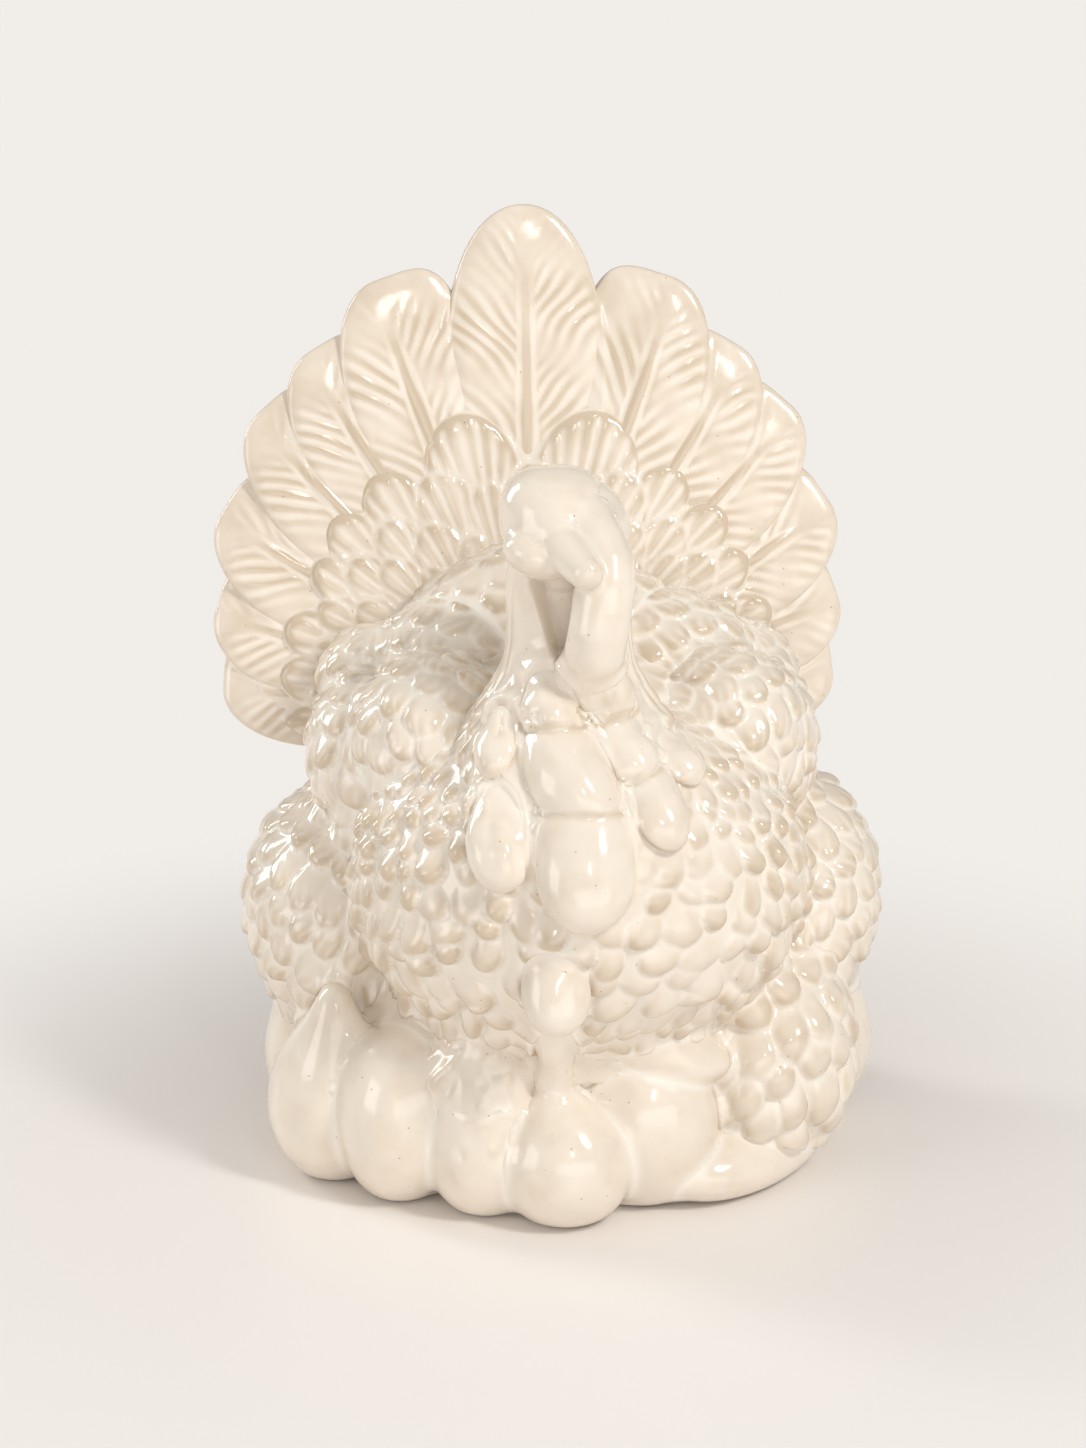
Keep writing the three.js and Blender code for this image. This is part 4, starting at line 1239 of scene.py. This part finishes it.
def inner_joint(number, hand, sweep, along, x, s):
    """Glaze bead on a feather along the edge of the one that lies over it: a parabola over
    the first stretch outside that edge."""
    if number == 0:
        return np.zeros_like(x), np.zeros_like(x)
    reach, width, other_sweep = FEATHERS[number - 1]
    turn = math.radians(sweep - other_sweep) * hand
    other_x = x * math.cos(turn) + along * math.sin(turn)
    other_along = -x * math.sin(turn) + along * math.cos(turn)
    half, over = feather_half_width(reach, width, other_along)
    outside = np.abs(other_x) - half
    tip = reach * BLADE_TIP
    rim = np.sqrt(over ** 2 + (other_x / (width / 2)) ** 2)
    outside = np.where(over > 0, (rim - 1) * min(width / 2, tip), outside)
    close = np.clip(1 - np.maximum(outside, 0) / (0.6 * s["fillet"]), 0, 1)
    return BEAD_RISE * close ** 2, BEAD_TINT * close ** 2


def make_tail():
    s = relief_settings()
    coverts_surface(s)
    for number in range(len(FEATHERS)):
        for side, hand in ([("", 0)] if number == 0 else [("left_", -1), ("right_", 1)]):
            node_name = f"{side}tail_feather_{number}"
            feather_surface(f"{node_name}_blade", [node_name], number, hand, s)


# Covert leaves on each side: degrees from the middle, tip radius and breadth in mm
COVERT_ROWS = [
    [(14, 89, 29), (33, 82, 18), (45, 79, 16), (57, 77, 15), (69, 76, 15), (81, 75, 15),
     (93, 74, 14), (105, 73, 14), (117, 72, 14)],
    [(0, 70, 20), (23, 74, 21), (39, 70, 15), (51, 69, 14), (63, 68, 14), (75, 66, 13),
     (87, 65, 13), (99, 64, 13), (111, 63, 13)],
    [(11, 67, 18), (31, 63, 15), (45, 61, 13), (58, 59, 13), (71, 57, 12), (84, 56, 12),
     (97, 55, 12), (110, 54, 12)],
    [(0, 57, 14), (20, 54, 14), (37, 52, 12), (51, 50, 12), (65, 48, 11), (79, 47, 11),
     (93, 46, 11), (107, 45, 11)],
]
# Rows of small leaves round the fan's root: root, length, breadth, rise and count
SMALL_COVERTS = [(-4, 14, 9, 1.5, 10), (4, 14, 9, 1.5, 14), (12, 14, 9.5, 1.7, 18),
                 (21, 14, 9.5, 1.8, 22), (29, 15, 10, 1.9, 24)]
COVERT_RISE = 3.4
COVERT_SPREAD = 1.16
# The dome: its height at the rim, what it gains to the root, and the reach of that
COVERT_FOOT, COVERT_GAIN, COVERT_REACH = 4.0, 13, 92.0
# Loss of rise with each row; random turn in degrees, length in mm, breadth and rise in shares
COVERT_ROW_LOSS, COVERT_TURN, COVERT_LONGER, COVERT_WIDER, COVERT_HIGHER = (
    0.12, 1.6, 1.2, 0.08, 0.12)
COVERT_BREADTH = 1.04
# Share by which the rim is drawn in below the fan, and the cosines between which it goes
DRAWN_IN, DRAWN_FROM = 0.24, (0.12, -0.25)


def shell_leaf(x, y, degrees, tip, breadth, rise):
    """One covert leaf: an ellipse end on a root that narrows, with grooves that fan out from
    the root, as a height over the fan's plane. Gives its height and its grooves."""
    a = math.radians(degrees)
    length = 1.25 * breadth + 6
    across = x * math.cos(a) - y * math.sin(a)
    along = x * math.sin(a) + y * math.cos(a) - (tip - length)
    b = along / length
    taper = 0.45 + 0.55 * np.sin(np.pi / 2 * np.clip(b / 0.55, 0, 1))
    reach = ((across / (0.5 * breadth * taper)) ** 2 + (np.maximum(b - 0.55, 0) / 0.45) ** 2)
    body = np.maximum(1 - reach ** 2.4, 0) ** 0.4 * (b > 0)
    height = rise * body * (0.1 + 0.9 * np.clip(b, 0, 1) ** 1.7)
    fan = np.arctan2(across, np.maximum(along + 0.25 * length, 1.0))
    groove = (0.5 + 0.5 * np.cos(2 * np.pi * fan * length / 4.4 + 0.6)) ** 1.5
    shown = smooth_step(0.2, 0.5, b) * smooth_step(1.0, 0.7, reach)
    return height, -0.6 * groove * shown * (0.7 + 0.3 * np.sin(0.5 * across + degrees))


def coverts_surface(s):
    """A low dome over the feather roots: rows go out from the fan's root to the rim, then
    back under it. Its height falls nearly evenly to the rim, under the feathers' fronts,
    and leaves with fans of grooves stand on it, those nearer the root over the others."""
    fine = s["fine"]
    up = np.pi / 2
    around = stations(1.85, fine / 80, 0.06)
    wide, tall = COVERT_SPREAD * COVERTS["width"] / 2, COVERT_SPREAD * COVERTS["height"] / 2
    e = COVERTS["rise"] / tall
    f, turn = np.meshgrid(np.linspace(0, 1, int(96 / fine)), around, indexing="ij")
    angle = up - turn
    c, d = np.cos(angle) / wide, np.sin(angle) / tall
    rim = (e * d + np.sqrt((e * d) ** 2 + (c ** 2 + d ** 2) * (1 - e ** 2))) / (c ** 2 + d ** 2)
    rim = rim * (1 - DRAWN_IN * smooth_step(*DRAWN_FROM, np.cos(turn)))
    out = f * rim
    x, y = out * np.cos(angle), out * np.sin(angle)
    leaves = overlapped(out, turn, 2 * np.pi * np.maximum(out, 4), SMALL_COVERTS, seed=41,
                        blunt=0.4, edge=2.6)
    height, grooves = leaves.height * smooth_step(46, 36, out), np.zeros_like(x)
    rng = np.random.default_rng(43)
    for number, row in enumerate(COVERT_ROWS):
        for degrees, tip, breadth in row:
            for hand in ((1,) if degrees == 0 else (-1, 1)):
                turned, longer, wider, higher = rng.uniform(-1, 1, 4)
                rise = (COVERT_RISE * (1 - COVERT_ROW_LOSS * number)
                        * (1 + COVERT_HIGHER * higher))
                lift, cut = shell_leaf(x, y, hand * degrees + COVERT_TURN * turned,
                                       tip + COVERT_LONGER * longer,
                                       breadth * (COVERT_BREADTH + COVERT_WIDER * wider), rise)
                over = lift > height
                height = np.where(over, lift, height)
                grooves = np.where(over, cut, grooves)
    relief = blurred(height + grooves, 1)
    base = COVERT_FOOT + COVERT_GAIN * np.clip(1 - out / COVERT_REACH, 0, 1) ** 1.15
    z = base * smooth_step(1.0, 0.985, f) + relief * smooth_step(1.0, 0.97, f)
    points = on_fan(np.stack([x, y, z], -1))
    outward = np.broadcast_to(fan_turn()[:, 2], points.shape)
    gap = np.minimum.reduce([GAPS[name](points) for name in neighbours(points, "tail_coverts")])
    seam = np.clip(1 - np.maximum(gap, 0) / s["fillet"], 0, 1)
    points = points + outward * (seam ** 2)[..., None]
    g, under_turn = np.meshgrid(np.linspace(1, 0, 12)[1:], around, indexing="ij")
    back = np.stack([g * rim[:1] * np.cos(up - under_turn), g * rim[:1] * np.sin(up - under_turn),
                     np.full_like(g, -0.5)], -1)
    grid = np.vstack([points, on_fan(back)])
    # Half as much lowered on the coverts: partly thinner glaze, partly painted shade
    pool = np.vstack([pooled(relief, 0.7 * seam ** 2 - FAN_THIN_AND_SHADE / 2, scale=0.6),
                      np.zeros_like(g)])
    lay_surface("tail_coverts_leaves", ["tail_coverts"], tuck_into_body(grid), pool)


# Knobs of the bumpy gourd: how many; angle down, radius in radians, and height in mm between
BUMPS = {"count": 90, "down": (0.3, 1.75), "radius": (0.08, 0.2), "height": (-1.0, 1.3)}
# Grapes: length, breadth, rise and pitch round a row, the way from a root to the widest ring,
# first and last root, and the pitch of the rows, in mm
GRAPES = {"length": 13.0, "breadth": 11.8, "rise": 3.0, "pitch": 11.2, "widest": 8,
          "first": -4.0, "last": 90.0, "row": 9.6}


def bumpy_top(points, down, around):
    """Low random knobs and pits over the upper part of the gourd, as sums of soft bells."""
    rng = np.random.default_rng(51)
    total = np.zeros_like(down)
    for _ in range(BUMPS["count"]):
        lift, side = rng.uniform(*BUMPS["down"]), rng.uniform(-np.pi, np.pi)
        size, tall = rng.uniform(*BUMPS["radius"]), rng.uniform(*BUMPS["height"])
        away = (down - lift) ** 2 + (np.sin(down) * np.angle(np.exp(1j * (around - side)))) ** 2
        total += tall * np.exp(-away / size ** 2)
    return total


def grape_lobes(points, down, around):
    """Overlapping grapes in rows, each a full round drop."""
    mean, along, girth = unrolled(MASSES["grape_bunch"], down)
    g = GRAPES
    rows = [(root, g["length"], g["breadth"], g["rise"],
             max(int(ring_length(mean, root + g["widest"]) / g["pitch"]), 5))
            for root in np.arange(g["first"], g["last"], g["row"])]
    return overlapped(along, around, girth, rows, seed=52, jitter=0.16, edge=2.2, waist=0.75,
                      climb=0.6).height


def bumpy_shoulder(points, down, around):
    """The knobs and pits of the gourd, fading below its shoulder."""
    return bumpy_top(points, down, around) * smooth_step(2.1, 1.2, down)


FRUIT_SHAPES = {"bumpy_gourd": bumpy_shoulder, "bumpy_gourd_knob": bumpy_top}
# Spacing of the grids of smooth fruit, of their stalk ends and of the leaf
FRUIT_FINE, KNOB_FINE, LEAF_FINE = 0.95, 0.7, 0.6
# Pooled glaze shows only this much in the broad knobs and pits
FRUIT_POOLING = 4.0


def make_fruit():
    fine = relief_settings()["fine"]
    for name in FRUITS:
        standing = {"front": MASSES[name].centre * (1, 1, 0), "finish": tuck_into_plinth}
        shape = FRUIT_SHAPES.get(name, plain)
        if name == "grape_bunch":
            glazed_lump("grapes", [name], name, grape_lobes, fine, pole=(-0.35, 0.3, 0.9),
                        **standing)
        else:
            glazed_lump(f"{name}_fruit", [name], name, shape,
                        FRUIT_FINE if shape is plain else fine, scale=FRUIT_POOLING, **standing)
    for name in KNOBS:
        knob = f"{name}_knob"
        glazed_lump(f"{knob}_end", [name], knob, FRUIT_SHAPES.get(knob, plain), KNOB_FINE,
                    scale=FRUIT_POOLING)
    glazed_lump("leaf_wedge", ["leaf"], "leaf", plain, LEAF_FINE, finish=keep)


# Camera: the point that it looks at in mm, its turn and lift in degrees, sensor in mm
LOOK_AT = np.array([-4.0, -4.0, 122.0])
CAMERA_ANGLES = (-5.3, 17.0)
SENSOR_WIDTH = 36.0
# Lamps, in metres and watts: place, size, power, colour; all face LAMP_AIM
LAMP_AIM = Vector((0, 0, 0.12))
LAMPS = {
    "window_right": ((0.7, -0.7, 1.05), (0.2, 0.32), 8.2, (1.0, 0.98, 0.95)),
    "spark": ((0.2, -1.3, 0.95), (0.1, 0.2), 1.0, (1.0, 0.98, 0.95)),
    "window_left": ((-1.2, 0.8, 0.8), (0.35, 0.9), 9.0, (1.0, 0.98, 0.96)),
    "side_left": ((-1.2, -0.6, 0.42), (0.6, 0.7), 3.8, (1.0, 0.98, 0.96)),
    "ceiling": ((0.0, -0.2, 1.5), (1.4, 1.2), 2.4, (1.0, 0.99, 0.97)),
    "front": ((0.35, -1.5, 0.34), (1.8, 0.6), 6.2, (1.0, 0.98, 0.96)),
}
WORLD_COLOUR, WORLD_STRENGTH = (1.0, 0.985, 0.96, 1), 0.3
# Floor: its radius, and how far from the figure it turns into the backdrop, in metres
FLOOR_RADIUS, FLOOR_NEAR, FLOOR_FAR = 12, 0.06, 0.3


def make_camera(settings):
    """Stands at the photograph's angle and distance and looks at the bird."""
    turn, lift = (math.radians(value) for value in CAMERA_ANGLES)
    away = Vector((math.sin(turn) * math.cos(lift), -math.cos(turn) * math.cos(lift),
                   math.sin(lift)))
    camera = bpy.data.objects.new("camera", bpy.data.cameras.new("camera"))
    camera.data.lens = settings.lens
    camera.data.sensor_width = SENSOR_WIDTH
    camera.location = Vector(LOOK_AT * MM + AXIS_FOOT) + away * settings.distance
    camera.rotation_euler = (-away).to_track_quat("-Z", "Y").to_euler()
    bpy.context.scene.collection.objects.link(camera)
    bpy.context.scene.camera = camera


def make_lamp(name, place, size, power, colour):
    """A soft lamp, a rectangle that faces the middle of the bird."""
    lamp = bpy.data.lights.new(name, "AREA")
    lamp.shape = "RECTANGLE"
    lamp.size, lamp.size_y = size
    lamp.energy = power
    lamp.color = colour
    carrier = bpy.data.objects.new(name, lamp)
    carrier.location = place
    carrier.rotation_euler = (LAMP_AIM - carrier.location).to_track_quat("-Z", "Y").to_euler()
    bpy.context.scene.collection.objects.link(carrier)


def seen_rays(tree):
    """1 for a ray that the eye follows: from the camera, off gloss or through glass."""
    ray = node(tree, "ShaderNodeLightPath").outputs
    direct = node(tree, "ShaderNodeMath", {0: ray["Is Camera Ray"], 1: ray["Is Glossy Ray"]},
                  operation="MAXIMUM")
    return node(tree, "ShaderNodeMath", {0: direct.outputs[0], 1: ray["Is Transmission Ray"]},
                operation="MAXIMUM").outputs[0]


def make_floor(settings):
    """A round floor that, for rays that the eye follows, glows as the backdrop far away."""
    material = bpy.data.materials.new("pale_floor")
    material.use_nodes = True
    tree = material.node_tree
    shader = tree.nodes["Principled BSDF"]
    shader.inputs["Base Color"].default_value = (*settings.floor, 1)
    shader.inputs["Roughness"].default_value = 0.4
    place = node(tree, "ShaderNodeTexCoord").outputs["Object"]
    out = node(tree, "ShaderNodeVectorMath", {0: place}, operation="LENGTH")
    far = node(tree, "ShaderNodeMapRange", {
        "Value": out.outputs["Value"], "From Min": FLOOR_NEAR, "From Max": FLOOR_FAR},
        interpolation_type="SMOOTHSTEP")
    share = node(tree, "ShaderNodeMath", {0: far.outputs[0], 1: seen_rays(tree)},
                 operation="MULTIPLY")
    pale = node(tree, "ShaderNodeEmission", {"Color": (*settings.backdrop, 1), "Strength": 1.0})
    mixed = node(tree, "ShaderNodeMixShader", {0: share.outputs[0], 1: shader.outputs[0],
                                               2: pale.outputs[0]})
    tree.links.new(mixed.outputs[0], tree.nodes["Material Output"].inputs["Surface"])
    turn = full_turn(96)
    rim = FLOOR_RADIUS * np.stack([np.cos(turn), np.sin(turn), 0 * turn], -1)
    mesh = bpy.data.meshes.new("floor")
    mesh.from_pydata(rim.tolist(), [], [list(range(len(turn)))])
    mesh.materials.append(material)
    floor = bpy.data.objects.new("floor", mesh)
    bpy.context.scene.collection.objects.link(floor)


def make_world(settings):
    """Soft even light, which the camera sees as the backdrop's colour."""
    world = bpy.data.worlds.new("studio")
    world.use_nodes = True
    bpy.context.scene.world = world
    tree = world.node_tree
    light = tree.nodes["Background"]
    light.inputs["Color"].default_value = WORLD_COLOUR
    light.inputs["Strength"].default_value = WORLD_STRENGTH
    pale = node(tree, "ShaderNodeBackground", {"Color": (*settings.backdrop, 1), "Strength": 1.0})
    ray = node(tree, "ShaderNodeLightPath").outputs["Is Camera Ray"]
    mixed = node(tree, "ShaderNodeMixShader", {0: ray, 1: light.outputs[0],
                                               2: pale.outputs[0]})
    tree.links.new(mixed.outputs[0], tree.nodes["World Output"].inputs["Surface"])


def make_stage():
    settings = bpy.context.scene.turkey_stage
    make_camera(settings)
    make_floor(settings)
    for name, entry in LAMPS.items():
        make_lamp(name, *entry)
    make_world(settings)
    bpy.context.scene.view_settings.view_transform = "Standard"


def operator_for(word, label, summary, work):
    """An operator class that runs one maker's function."""
    def execute(self, context):
        work()
        return {"FINISHED"}
    return type(f"TURKEY_OT_{word}", (bpy.types.Operator,), {
        "__doc__": summary, "bl_idname": f"turkey.{word}", "bl_label": label,
        "bl_options": {"REGISTER", "UNDO"}, "execute": execute})


OPERATORS = [operator_for(*entry) for entry in [
    ("stage", "Stage", "Adds the floor, the lamps and the camera", make_stage),
    ("body", "Body", "Adds the skins of breast, back and egg", make_body),
    ("plinth", "Plinth", "Adds the turned plinth", make_plinth),
    ("neck", "Neck", "Adds the neck with its scales and folds", make_neck),
    ("head", "Head", "Adds the head, cheeks, beak and snood", make_head),
    ("caruncles", "Caruncles", "Adds the drops down the neck and breast", make_caruncles),
    ("plumage", "Plumage", "Adds wings, back lobes, flanks, thighs and rump", make_plumage),
    ("tail", "Tail", "Adds the coverts and the thirteen tail feathers", make_tail),
    ("fruit", "Fruit", "Adds the ring of fruit", make_fruit),
]]


class TURKEY_PT_panel(bpy.types.Panel):
    """Lists the steps of the figure and their sizes and colours."""
    bl_label = "Ceramic Turkey"
    bl_idname = "TURKEY_PT_panel"
    bl_space_type = "VIEW_3D"
    bl_region_type = "UI"
    bl_category = "Turkey"

    def draw(self, context):
        for group in (context.scene.turkey_glaze, context.scene.turkey_relief,
                      context.scene.turkey_stage):
            for key in group.bl_rna.properties.keys():
                if key not in ("rna_type", "name"):
                    self.layout.prop(group, key)
        for operator in OPERATORS:
            self.layout.operator(operator.bl_idname)


GROUPS = {"turkey_glaze": GlazeSettings, "turkey_relief": ReliefSettings,
          "turkey_stage": StageSettings}
CLASSES = [*GROUPS.values(), *OPERATORS, TURKEY_PT_panel]


def register():
    for each in CLASSES:
        bpy.utils.register_class(each)
    for key, group in GROUPS.items():
        setattr(bpy.types.Scene, key, bpy.props.PointerProperty(type=group))


def unregister():
    for key in GROUPS:
        delattr(bpy.types.Scene, key)
    for each in reversed(CLASSES):
        bpy.utils.unregister_class(each)


def main():
    register()
    for operator in OPERATORS:
        group, word = operator.bl_idname.split(".")
        getattr(getattr(bpy.ops, group), word)()


if __name__ == "__main__":
    main()
